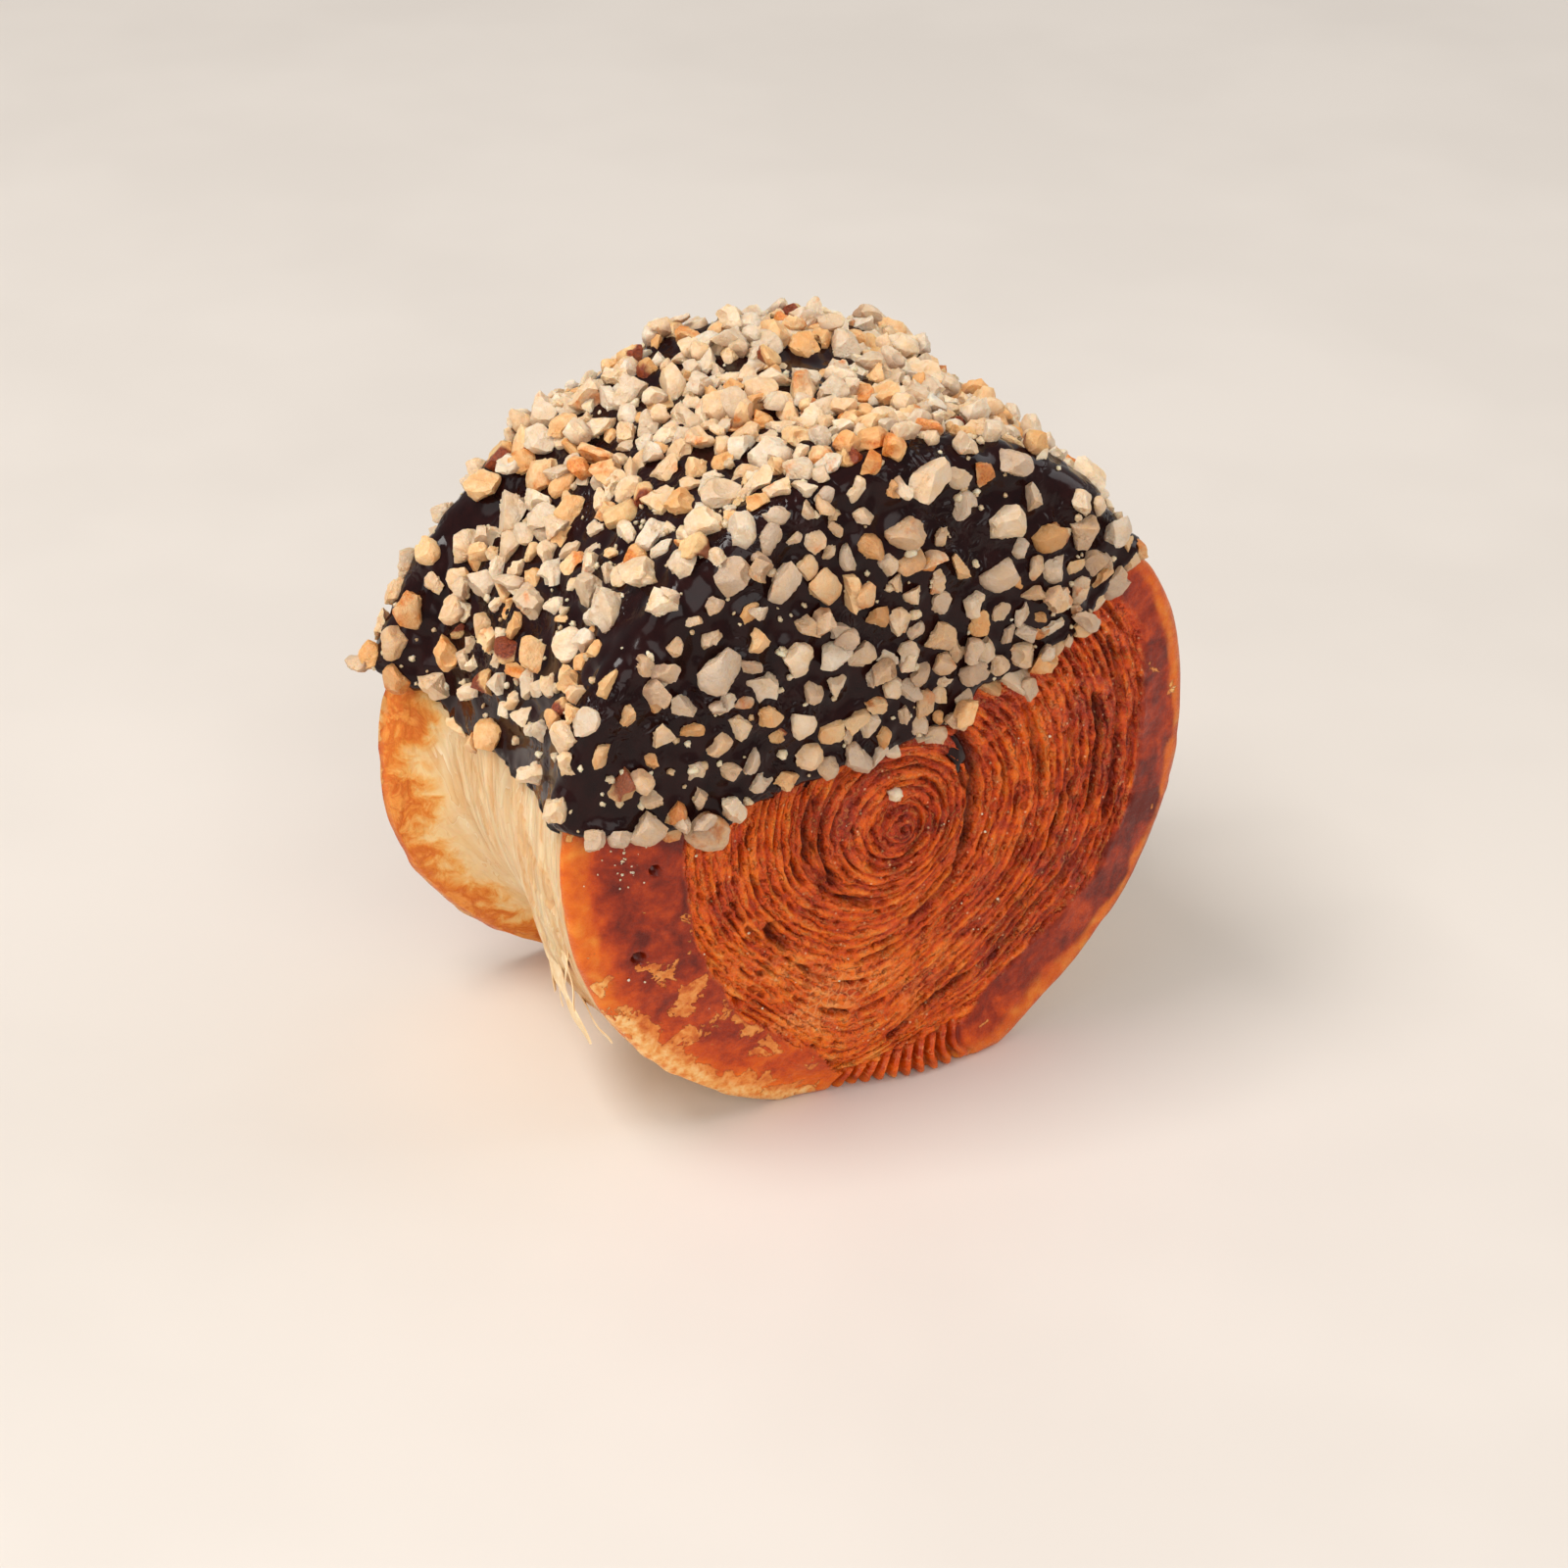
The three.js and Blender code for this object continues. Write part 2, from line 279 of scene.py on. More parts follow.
def band_of(inner, outer):
    """Triangles between two rings with as many points as each other, or with twice as many."""
    if len(inner) == 1:
        return np.stack([np.full(len(outer), inner[0]), outer, np.roll(outer, -1)], axis=1)
    if len(outer) == 1:
        return np.stack([inner, np.full(len(inner), outer[0]), np.roll(inner, -1)], axis=1)
    if len(inner) == len(outer):
        inner_next, outer_next = np.roll(inner, -1), np.roll(outer, -1)
        return np.concatenate([np.stack([inner, outer, inner_next], axis=1),
                               np.stack([outer, outer_next, inner_next], axis=1)])
    few, many = (inner, outer) if len(inner) < len(outer) else (outer, inner)
    start, middle, end = many[0::2], many[1::2], np.roll(many, -2)[0::2]
    following = np.roll(few, -1)
    if len(inner) < len(outer):
        parts = ((few, start, middle), (few, middle, following), (following, middle, end))
    else:
        parts = ((start, few, middle), (middle, few, following), (middle, following, end))
    return np.concatenate([np.stack(part, axis=1) for part in parts])


class Skin:
    """A closed skin from rings of points round the Y axis, with values for each point."""

    def __init__(self):
        self.points = []
        self.values = []
        self.rings = []
        self.count = 0

    def ring(self, points, values):
        size = len(points)
        self.points.append(points)
        self.values.append({key: np.broadcast_to(value, size) for key, value in values.items()})
        self.rings.append(np.arange(self.count, self.count + size))
        self.count += size

    def pole(self, points, values):
        middle = {key: np.mean(value) for key, value in values.items()}
        self.ring(points.mean(axis=0, keepdims=True), middle)

    def build(self):
        faces = np.concatenate([band_of(a, b) for a, b in zip(self.rings, self.rings[1:])])
        keys = self.values[0].keys()
        values = {key: np.concatenate([part[key] for part in self.values]) for key in keys}
        return np.concatenate(self.points), faces, values


def vertex_normals(points, faces):
    a, b, c = (points[faces[:, k]] for k in range(3))
    across = np.cross(b - a, c - a)
    normals = np.zeros_like(points)
    for corner in range(3):
        for axis in range(3):
            normals[:, axis] += np.bincount(faces[:, corner], across[:, axis], len(points))
    return normals / np.maximum(np.linalg.norm(normals, axis=1, keepdims=True), 1e-12)


def make_piece(name, points, faces, material, values=None):
    """A mesh object of triangles, from millimetres about the roll's axis."""
    faces = np.asarray(faces, dtype=np.int32)
    placed = (np.asarray(points, dtype=float) + ROLL_AXIS) * MM
    mesh = bpy.data.meshes.new(name)
    mesh.vertices.add(len(placed))
    mesh.vertices.foreach_set("co", placed.ravel())
    mesh.loops.add(faces.size)
    mesh.loops.foreach_set("vertex_index", faces.ravel())
    mesh.polygons.add(len(faces))
    mesh.polygons.foreach_set("loop_start", np.arange(0, faces.size, 3, dtype=np.int32))
    mesh.polygons.foreach_set("use_smooth", np.ones(len(faces), dtype=bool))
    mesh.update(calc_edges=True)
    mesh.validate()
    for key, value in (values or {}).items():
        layer = mesh.attributes.new(key, "FLOAT", "POINT")
        layer.data.foreach_set("value", np.ascontiguousarray(value, dtype=np.float32))
    mesh.materials.append(material)
    piece = bpy.data.objects.new(name, mesh)
    bpy.context.scene.collection.objects.link(piece)
    return piece


# ---- Dough ----
LINES = {"front": 5, "back": 3}  # lines of points to each layer of the strip
PROFILES = {"front": np.array([0.0, 0.7, 1.0, 0.55, 0.3]), "back": np.array([0.0, 1.0, 0.4])}
GAP_SHARES = {"front": np.array([1.0, 0.45, 0.0, 0.05, 0.55]), "back": np.array([1.0, 0.1, 0.3])}
WALL_ROWS = 48
CORE = 12.9  # within this distance the layers wind singly round the middle


def column_angles():
    """Fine columns where the dough shows, finest at the strip's end, coarse under the coat."""
    runs = ((-97, -70, 90), (-70, 42, 182), (42, 176, 40), (176, 257, 132), (257, 263, 20))
    return np.radians(np.concatenate([
        np.linspace(start, end, count, endpoint=False) for start, end, count in runs]))


def columns_of(angles, side, in_core):
    """Where the columns stand in the winding, and how far each line of points is shifted."""
    wound = ((angles - STRIP_END) / (2 * math.pi)) % 1.0
    lines = LINES[side] * (1 if in_core else LAYERS)
    label = np.floor(lines * wound + 0.5)
    return {"wound": wound, "label": label, "shift": label - lines * wound, "in_core": in_core}


def winding_noise(columns, layer, key, x, z, scale, seed):
    """Noise that follows one layer and differs from layer to layer."""
    if columns["in_core"]:
        along = math.pi * (STRIP_THICKNESS / LAYERS) * (layer + 0.5 - columns["wound"]) ** 2
        return noise(along / scale, 1.7 * (key - layer), seed=seed)
    return noise(x / scale, z / scale, key * 5.31, seed=seed)


def open_layers(side, row, columns, x, z):
    """The open layers along one row of points: their height, tone, gaps and line numbers."""
    per_layer = LINES[side]
    line = row + columns["label"]
    if not columns["in_core"]:
        line = np.mod(line, per_layer * LAYERS)
    phase = np.mod(line, per_layer).astype(int)
    layer = np.floor(line / per_layer)
    joint = np.floor(line / per_layer + 0.5)
    if not columns["in_core"]:
        joint = np.mod(joint, LAYERS)

    def along(key, scale, seed):
        return winding_noise(columns, layer, key, x, z, scale, SEED + seed)

    stand = 0.58 + 0.5 * along(layer, 6.5, 0) + 0.5 * along(layer, 1.7, 1)
    crumble = 0.5 * along(line, 0.95, 6) + 0.3 * along(line, 2.6, 9)
    fused = smoothstep(-0.05, 0.35, along(joint, 5.5, 2))
    parted = along(joint, 7.5, 3) + 0.45 * along(joint, 1.8, 4)
    angle, radius = np.arctan2(z, x), np.hypot(x, z)
    right = toward(-18, angle, 0.85) * smoothstep(22, 31, radius)
    seam = (joint == 0) * (not columns["in_core"]) * (0.3 + 0.3 * along(joint, 6.0, 5))
    low_left = toward(-112, angle, 0.7) * smoothstep(14, 26, radius)
    parted = parted + seam + 0.34 * right - 0.22 * low_left
    gap = smoothstep(0.48, 0.74, parted) * GAP_SHARES[side][phase]
    pore = smoothstep(0.36, 0.55, along(joint, 1.35, 10)) * GAP_SHARES[side][phase]
    ridge = np.clip(PROFILES[side][phase] + 0.8 * fused * (1 - PROFILES[side][phase]), 0, 1)
    height = np.clip(ridge * np.clip(stand, 0.05, 1.25) + 0.34 * crumble, 0, 1.3)
    middle = bell(radius, 15)
    tone = 0.465 + 0.34 * (ridge * np.clip(stand, 0, 1.25) - 0.42) + 0.2 * crumble
    # Painted shade: the tone falls on the right side of the face.
    tone = tone - 0.15 * right - 0.12 * middle + 0.14 * low_left
    gap = np.clip(gap + 0.6 * pore, 0, 1)
    return height, tone, gap, line


def drift(x, z, line, lines):
    """The layers' waver, as a shift away from the middle of the winding."""
    turned = 2 * math.pi * line / lines
    waver = 0.30 * noise(x / 4 + 2.6 * np.cos(turned), z / 4, 2.6 * np.sin(turned), seed=SEED + 7)
    ragged = 0.10 * noise(x / 1.1, z / 1.1, line * 0.37, seed=SEED + 11)
    slow = 0.45 * noise(x / 13, z / 13, seed=SEED + 8)
    return waver + ragged + slow


def carved(x, z):
    """Depth of the deep grooves and pits of the near face."""
    depth = np.zeros(np.shape(x))
    for half_width, deepest, places in GROOVES:
        away = distance_to_path(x + 0.5 * noise(x / 3, z / 3, seed=41), z, places)
        broken = 0.75 + 0.45 * noise(x / 3.5, z / 3.5, seed=42)
        depth = np.maximum(depth, 1.3 * deepest * broken * bell(away, 1.25 * half_width))
    for degrees, radius, size in PITS:
        px, pz = polar(degrees, radius)
        hole = smoothstep(size * 1.25, size * 0.6, np.hypot(x - px, z - pz))
        depth = np.maximum(depth, 2.2 * hole)
    return depth


COMB_DEPTH = 1.7  # of the grooves between the bent layer ends, on the face
COMB_NOTCH = 0.8  # how far they draw the face's outline in
COMB_RIM = 0.9  # how deep they are round the rim
COMB_START = ((-103, -95, -87, -80, -72, -60), (50.0, 48.5, 47.0, 46.5, 46.5, 47.5))


def comb(angle, radius):
    """The bent layer ends at the end of the strip: the grooves between them, and their area."""
    start = np.interp(np.degrees(turn(0.0, angle)), *COMB_START)
    bow = 0.8 * ((radius - start - 3.5) / 3.5) ** 2 - 0.3
    place = turn(STRIP_END, angle) / TOOTH_ANGLE - bow
    inside = smoothstep(-0.6, -0.2, place) * smoothstep(TEETH + 1.3, TEETH + 0.4, place)
    inside = inside * smoothstep(-0.8, 1.2, radius - start)
    groove = np.clip(0.5 + 0.5 * np.cos(2 * math.pi * place), 0, 1) ** 1.5
    return inside * groove, inside


def rim_comb(angles):
    return comb(angles, 51.5 + 0 * angles)[0]


def flaking(x, z, front):
    """How much of the band's thin skin has flaked off round a place."""
    angle, radius = np.arctan2(z, x), np.hypot(x, z)
    if not front:
        return 0.05 + 0.16 * smoothstep(46, 51, radius)
    lower_left = toward(-130, angle, 0.40)
    rim = toward(-122, angle, 0.56) * smoothstep(48.6, 52.0, radius)
    return 0.16 * lower_left + 0.19 * rim + 0.03


def on_right(angle):
    """The right side of the near face, from 0 to 1, where the band and the toasted rim are painted
    darker as shade.
    """
    return toward(-16, angle, 0.95)


def band_tone(x, z):
    """How light the smooth band is: orange at the left rim and brown inward, and painted darker on
    the right as shade.
    """
    angle, radius = np.arctan2(z, x), np.hypot(x, z)
    lower = toward(-112, angle, 0.5)
    outward = smoothstep(44, 54, radius)
    right = on_right(angle)
    return 0.23 + 0.5 * outward * (1 - right) + 0.22 * lower - 0.08 * right


def rim_width(angle):
    """How far the toasted rim reaches into the near face, less far on the right as painted shade.
    """
    lip = toward(-57, angle, 0.22)
    return 2.4 - 1.5 * on_right(angle) + 1.9 * lip


def face_relief(x, z, inward, height, gap, smooth):
    """How deep a face lies under its form: its open layers, or the smooth skin round them."""
    skin = 0.12 + 0.28 * fractal(x / 7, z / 7, seed=46)
    step = 0.45 * bell(inward + 1.2, 1.0)
    swell = 0.5 * fractal(x / 9, z / 9, seed=43)
    loose = 0.75 + 0.45 * noise(x / 10, z / 10, seed=40)
    layered = loose * (0.85 * (1 - height)) + 1.3 * gap + step + swell
    return mix(layered, skin, smooth)


def face_toast(x, z, distance):
    """The toasted rim of a face, from 0 to 1."""
    toasted = FACE_EDGE - distance - 0.9 * noise(x / 3, z / 3, seed=47)
    return smoothstep(rim_width(np.arctan2(z, x)), 0.3, toasted)


def face_lace(x, z):
    """Where the layers below the middle lie open in small cells."""
    lace = toward(-108, np.arctan2(z, x), 0.5) * bell(np.hypot(x, z) - 35, 7)
    return lace * smoothstep(-0.1, 0.35, noise(x / 6, z / 6, seed=38))


def face_ring(side, distance, row, angles):
    """A ring of a face's points, at one distance from the middle of the winding."""
    front = side == "front"
    station = FRONT_STATION if front else DEPTH
    lines = LINES[side] * LAYERS
    columns = columns_of(angles, side, distance < CORE)
    settled = 1 - smoothstep(44, 50, distance)
    core_edge = np.clip(abs(distance - CORE) / 1.1, 0, 1)
    shifted = distance + settled * core_edge * columns["shift"] * STRIP_THICKNESS / lines
    x, z = face_place(shifted, angles, station)
    height, tone, gap, line = open_layers(side, row, columns, x, z)
    move = settled * smoothstep(0, 5, distance) * drift(x, z, line, lines)
    x, z = x + move * np.cos(angles), z + move * np.sin(angles)
    radius, place = np.hypot(x, z), np.arctan2(z, x)
    edge = band_edge(place) if front else 43.0
    edge = edge + 0.7 * noise(x / 4, z / 4, seed=45)
    band = smoothstep(-0.5, 0.5, radius - edge)
    patch = band * flaking(x, z, front)
    carve = carved(x, z) if front else 0 * band
    teeth, toothed = comb(place, radius) if front else (0 * band, 0 * band)
    curl = 0.7 * bell(distance, 2.2) - 0.5 * bell(distance - 4.2, 1.3)
    smooth = np.maximum(band, toothed)
    relief = face_relief(x, z, radius - edge, height, gap, smooth)
    depth = relief + carve * (1 - 0.3 * band) + COMB_DEPTH * teeth
    share = distance / FACE_EDGE
    if front:
        flare = end_flare(angles, 0.0) * smoothstep(0.78, 1, share)
        y = near_face(share) + depth - curl - flare
    else:
        y = DEPTH + BACK_EDGE + dome(share, BACK_DOME) - depth * 0.9
    notch = COMB_NOTCH * teeth * smoothstep(48, 52, radius)
    points = np.stack([x - notch * np.cos(place), y + 0 * x, z - notch * np.sin(place)], axis=1)
    toast = face_toast(x, z, distance) * (1 - 0.75 * toothed)
    # dark is painted shade in the open gaps, the carved grooves and pits, and the comb's grooves.
    dark = np.clip(0.9 * gap * (1 - smooth) + 0.7 * carve + teeth, 0, 1.2)
    tone = mix(mix(tone, band_tone(x, z), band), 0.42, toothed)
    turned = 2 * math.pi * line / lines
    values = {"band": band, "wall": 0.0, "toast": toast + 0 * x, "tone": tone, "dark": dark,
              "patch": patch, "line_x": 14.3 * np.cos(turned), "line_z": 14.3 * np.sin(turned),
              "open": (1 - smooth) * settled, "lace": face_lace(x, z)}
    return points, values


def fillet_ring(side, share, angles):
    """The turn from a face (share 0) into the wall (share 1)."""
    face, values = face_ring(side, FACE_EDGE, 0, angles)
    front = side == "front"
    bend = share * math.pi / 2
    station = FRONT_STATION if front else DEPTH
    flat_y = RIM_SLOPE if front else DEPTH + BACK_EDGE
    radius = wall_radius(angles, station) - RIM_FILLET * (1 - math.sin(bend))
    teeth = rim_comb(angles) if front else 0 * angles
    radius = radius - COMB_RIM * teeth + 0.25 * noise(angles * 17, share, seed=48)
    inward = RIM_FILLET * (1 - math.cos(bend))
    flat_y = flat_y - (end_flare(angles, 0.0) if front else 0.0)
    y = mix(flat_y, face[:, 1], math.cos(bend)) + (inward if front else -inward)
    # On the right the rim's toast is lowered as painted shade.
    toast = 1.0 - 0.7 * teeth - (0.4 * on_right(angles) if front else 0.0)
    values = dict(values, toast=toast, wall=0.0, band=1.0, open=0.0)
    return round_axis(radius, angles, y), values


def sheets(y, x, z):
    """Thin overlapping sheets on the side wall: their stepped height, each one's tint, and their
    edges, where shade is painted.
    """
    level = 2.6 * noise(y / 12, x / 26, z / 26, seed=62)
    level = level + 0.8 * noise(y / 4, x / 15, z / 15, seed=63)
    level = level + 0.2 * noise(y / 1.2, x / 5, z / 5, seed=68) + y / 6
    sheet = np.floor(level)
    edge = level - sheet
    tint = lattice(sheet, 0 * sheet, 0 * sheet, 69)
    return 0.35 * smoothstep(0.0, 0.16, edge) - 0.3 * edge, tint, bell(edge, 0.07)


def wall_ring(y, angles):
    """A ring of the side wall, with soft folds and sheets that run round the roll."""
    x, z = np.cos(angles) * 50, np.sin(angles) * 50
    radius = wall_radius(angles, y)
    sway = 1.8 * noise(x / 24, z / 24, seed=61)
    fold = noise((y + sway) / 4.2, x / 30, z / 30, seed=60)
    crease = 1 - np.abs(noise((y + 1.4 * sway) / 3.2, x / 20, z / 20, seed=64))
    layered, tint, edge = sheets(y + sway, x, z)
    inner = smoothstep(2.5, 8, y) * smoothstep(DEPTH - 3, DEPTH - 8, y)
    bottom = smoothstep(0.6, 0.0, free_radius(angles, y) - radius)
    border = 52.6 + 1.3 * noise(x / 7, z / 7, seed=65) + 0.6 * noise(x / 2, z / 2, seed=70)
    flange = smoothstep(-4.2, 3.4, y - border)
    bumps = inner * (0.6 * fold + layered - 0.35 * crease ** 10)
    bumps = bumps + smoothstep(49, 52, y) * 0.35 * fractal(y / 3, x / 5, z / 5, seed=66)
    teeth = rim_comb(angles) * smoothstep(6.5, 1.5, y)
    radius = radius + bottom * bumps - COMB_RIM * teeth
    rim = smoothstep(3.4, 2.0, y + 0.8 * noise(x / 5, z / 5, seed=67))
    # dark is painted shade in the wall's creases, along the sheets' edges and in the comb's
    # grooves.
    values = {"band": 0.0, "wall": 1 - 0 * radius, "toast": np.maximum(flange, rim),
              "tone": mix(0.45, tint, inner), "patch": 0.0, "line_x": 0.0, "line_z": 0.0,
              "open": 0.0, "lace": 0.0,
              "dark": np.clip(inner * (0.6 * crease ** 12 + 0.5 * edge) + teeth, 0, 1)}
    return round_axis(radius, angles, y - end_flare(angles, y)), values


def face_rows(side):
    """Distances and row numbers of a face's rings, from the middle outward."""
    step = STRIP_THICKNESS / (LINES[side] * LAYERS)
    inner = np.arange(1, int(46.2 / step) + 1)
    outer = np.linspace(inner[-1] * step, FACE_EDGE, 14 if side == "front" else 7)[1:]
    rows = [(row * step, row) for row in inner]
    return rows + [(distance, inner[-1] + 1 + k) for k, distance in enumerate(outer)]


def thinned(angles, distance, full, half):
    return angles if distance > full else angles[::2] if distance > half else angles[::4]


def dough_skin():
    angles = column_angles()
    skin = Skin()
    skin.pole(*face_ring("front", 0.02, 0, angles[::4]))
    for distance, row in face_rows("front"):
        skin.ring(*face_ring("front", distance, row, thinned(angles, distance, 26, 13)))
    for share in (0.33, 0.66, 0.9):
        skin.ring(*fillet_ring("front", share, angles))
    for y in np.linspace(3.6, DEPTH - 1.4, WALL_ROWS):
        skin.ring(*wall_ring(y, angles))
    for share in (0.8, 0.45):
        skin.ring(*fillet_ring("back", share, angles))
    for distance, row in reversed(face_rows("back")):
        skin.ring(*face_ring("back", distance, row, thinned(angles, distance, 50.5, 20)))
    skin.pole(*face_ring("back", 0.02, 0, angles[::4]))
    return skin.build()


def make_dough():
    points, faces, values = dough_skin()
    points[:, 2] = np.maximum(points[:, 2], -AXIS_HEIGHT)
    under = over_edge(points)
    values["near_coat"] = bell(np.minimum(under, 0), 1.6)
    return make_piece("baked_dough", points, faces, dough_material(), values)


# ---- Chocolate ----
COAT_COLUMNS = 452
COAT_FACE_ROWS = 72
COAT_WALL_ROWS = 68
COAT_BACK_ROWS = 60


def base_front(angles, share):
    radius = share * (wall_radius(angles, FRONT_STATION) - RIM_FILLET)
    return round_axis(radius, angles, near_face(share))


def base_back(angles, share):
    radius = share * (wall_radius(angles, DEPTH) - RIM_FILLET)
    return round_axis(radius, angles, DEPTH + BACK_EDGE + dome(share, BACK_DOME))


def base_fillet(angles, share, front):
    bend = share * math.pi / 2
    rim = wall_radius(angles, FRONT_STATION if front else DEPTH)
    inward = RIM_FILLET * (1 - math.cos(bend))
    y = RIM_SLOPE + inward if front else DEPTH + BACK_EDGE - inward
    return round_axis(rim - RIM_FILLET * (1 - math.sin(bend)), angles, y)


def base_wall(angles, y):
    return round_axis(wall_radius(angles, y), angles, y)


def coat_base():
    """The dough's form without its layers, where the coat lies, as points and triangles."""
    angles = np.radians(np.linspace(-97, 263, COAT_COLUMNS, endpoint=False))
    skin = Skin()
    skin.pole(base_front(angles[::4], 0.001), {})
    for share in np.linspace(0, 1, COAT_FACE_ROWS)[1:]:
        skin.ring(base_front(thinned(angles, share, 0.5, 0.25), share), {})
    for share in (0.25, 0.5, 0.75, 1.0):
        skin.ring(base_fillet(angles, share, True), {})
    for y in np.linspace(3.8, DEPTH - 1.2, COAT_WALL_ROWS):
        skin.ring(base_wall(angles, y), {})
    for share in (1.0, 0.7, 0.35):
        skin.ring(base_fillet(angles, share, False), {})
    for share in np.linspace(1, 0, COAT_BACK_ROWS)[:-1]:
        skin.ring(base_back(thinned(angles, share, 0.5, 0.25), share), {})
    skin.pole(base_back(angles[::4], 0.001), {})
    return skin.build()


def coat_thickness(over, points):
    """A rounded bead along the edge, which dives into the dough just outside it."""
    x, y, z = points.T
    rise = np.sqrt(np.clip(1 - (1 - np.clip(over / 1.5, 0, 1)) ** 2, 0, 1))
    slow = 0.35 * noise(x / 9, y / 9, z / 9, seed=74) + 0.22 * noise(x / 4, y / 4, z / 4, seed=75)
    full = COAT_THICKNESS + slow + 0.2 * bell(over - 1.4, 1.3)
    return rise * full - COAT_ROOT * smoothstep(0.05, -0.5, over)


def closed_shell(outer, inner, faces):
    """Joins an outer and an inner skin with the same triangles round their shared border."""
    used = np.unique(faces)
    renumbered = np.zeros(len(outer), dtype=np.int64)
    renumbered[used] = np.arange(len(used))
    faces = renumbered[faces]
    edges = np.concatenate([faces[:, [0, 1]], faces[:, [1, 2]], faces[:, [2, 0]]])
    codes = edges[:, 0] * len(used) + edges[:, 1]
    opposite = edges[:, 1] * len(used) + edges[:, 0]
    a, b = edges[~np.isin(codes, opposite)].T
    count = len(used)
    sides = np.concatenate([np.stack([b, a, a + count], axis=1),
                            np.stack([b, a + count, b + count], axis=1)])
    every = np.concatenate([faces, faces[:, ::-1] + count, sides])
    return np.concatenate([outer[used], inner[used]]), every, used


class Coat:
    """The chocolate's outer skin, on which the nuts are strewn before it rises round them."""

    def __init__(self):
        base, faces, _ = coat_base()
        self.base = base
        self.normals = vertex_normals(base, faces)
        self.over = over_edge(base)
        self.thickness = coat_thickness(self.over, base)
        self.faces = faces[(self.over[faces] > -1.1).any(axis=1)]
        self.outer = base + self.normals * self.thickness[:, None]

    def picks(self, rng, count, lowest):
        """Triangles drawn by their area, all of them farther over the coat's edge than a limit."""
        a, b, c = (self.outer[self.faces[:, k]] for k in range(3))
        area = np.linalg.norm(np.cross(b - a, c - a), axis=1)
        area = area * (self.over[self.faces].min(axis=1) > lowest)
        return rng.choice(len(area), size=count, p=area / area.sum())

    def rise_round(self, nuts):
        """The chocolate climbs a little round each nut, and is rough where they crowd."""
        tree = kdtree.KDTree(len(nuts))
        for index, nut in enumerate(nuts):
            tree.insert(nut["place"], index)
        tree.balance()
        crowd = np.zeros(len(self.base))
        lift = np.zeros(len(self.base))
        for index in np.unique(self.faces):
            for _, which, away in tree.find_n(self.outer[index], 4):
                gap = max(0.0, away - nuts[which]["size"] * 0.36)
                lift[index] += 0.6 * math.exp(-(gap / 1.1) ** 2)
                crowd[index] += 0.5 * math.exp(-(gap / 3.5) ** 2)
        x, y, z = self.base.T
        ripple = 0.10 * noise(x / 3.4, y / 3.4, z / 3.4, seed=76)
        lift = np.minimum(lift, 0.75) + ripple * np.clip(crowd, 0, 1)
        lift = lift * smoothstep(0.3, 1.6, self.over)
        self.crowd = np.clip(crowd, 0, 1)
        self.outer = self.outer + self.normals * lift[:, None]

    def piece(self):
        inner = self.base - self.normals * COAT_ROOT * 1.2
        points, faces, used = closed_shell(self.outer, inner, self.faces)
        values = {"crowd": np.tile(self.crowd[used], 2)}
        return make_piece("dark_chocolate", points, faces, chocolate_material(), values)


# ---- Nuts ----
CHIP_SHAPES = 64
CHIP_TRIANGLES = 400
NUT_TRIES = 12000
CRUMB_TRIES = 620
NUT_REACH = 0.42  # how far a nut keeps others off, for each millimetre of its size
NUT_SCALE = 0.56


def icosphere(level):
    """Unit sphere of triangles: 320 at level 2, 1280 at level 3."""
    t = (1 + math.sqrt(5)) / 2
    points = [(-1, t, 0), (1, t, 0), (-1, -t, 0), (1, -t, 0), (0, -1, t), (0, 1, t),
              (0, -1, -t), (0, 1, -t), (t, 0, -1), (t, 0, 1), (-t, 0, -1), (-t, 0, 1)]
    faces = [(0, 11, 5), (0, 5, 1), (0, 1, 7), (0, 7, 10), (0, 10, 11), (1, 5, 9), (5, 11, 4),
             (11, 10, 2), (10, 7, 6), (7, 1, 8), (3, 9, 4), (3, 4, 2), (3, 2, 6), (3, 6, 8),
             (3, 8, 9), (4, 9, 5), (2, 4, 11), (6, 2, 10), (8, 6, 7), (9, 8, 1)]
    points = [np.array(point) / np.linalg.norm(point) for point in points]
    for _ in range(level):
        middles, split = {}, []

        def middle(a, b):
            key = (min(a, b), max(a, b))
            if key not in middles:
                point = points[a] + points[b]
                points.append(point / np.linalg.norm(point))
                middles[key] = len(points) - 1
            return middles[key]

        for a, b, c in faces:
            ab, bc, ca = middle(a, b), middle(b, c), middle(c, a)
            split += [(a, ab, ca), (b, bc, ab), (c, ca, bc), (ab, bc, ca)]
        faces = split
    return np.array(points), np.array(faces)


def unit(vector):
    return vector / np.linalg.norm(vector)


def joined(parts):
    """One mesh from many parts, each of which is its points and its triangles."""
    starts = np.cumsum([0] + [len(points) for points, _ in parts[:-1]])
    faces = [triangles + start for (_, triangles), start in zip(parts, starts)]
    return np.concatenate([points for points, _ in parts]), np.concatenate(faces)


def chopped(rng, sphere):
    """A chopped piece: a sphere cut by random planes, with a scooped hollow in some."""
    reach = np.ones(len(sphere))
    sharpness = rng.uniform(50, 140)
    for _ in range(rng.integers(6, 11)):
        facing = np.clip(sphere @ unit(rng.normal(size=3)), 0, 1)
        reach += (facing / rng.uniform(0.36, 0.8)) ** sharpness
    radius = reach ** (-1 / sharpness)
    for _ in range(rng.integers(1, 4)):
        middle = unit(rng.normal(size=3)) * rng.uniform(0.95, 1.25)
        hollow = rng.uniform(0.45, 0.75)
        along = sphere @ middle
        inside = along ** 2 - (middle @ middle - hollow ** 2)
        meets = np.where(inside > 0, along - np.sqrt(np.maximum(inside, 0)), 9.0)
        radius = np.minimum(radius, np.where(along > 0, meets, 9.0))
    offset = rng.uniform(-50, 50, size=3)
    rough = 0.055 * noise(*(sphere * 2.6 + offset).T, seed=81)
    fine = 0.035 * noise(*(sphere * 6.5 + offset).T, seed=82)
    return sphere * (radius + rough + fine)[:, None]


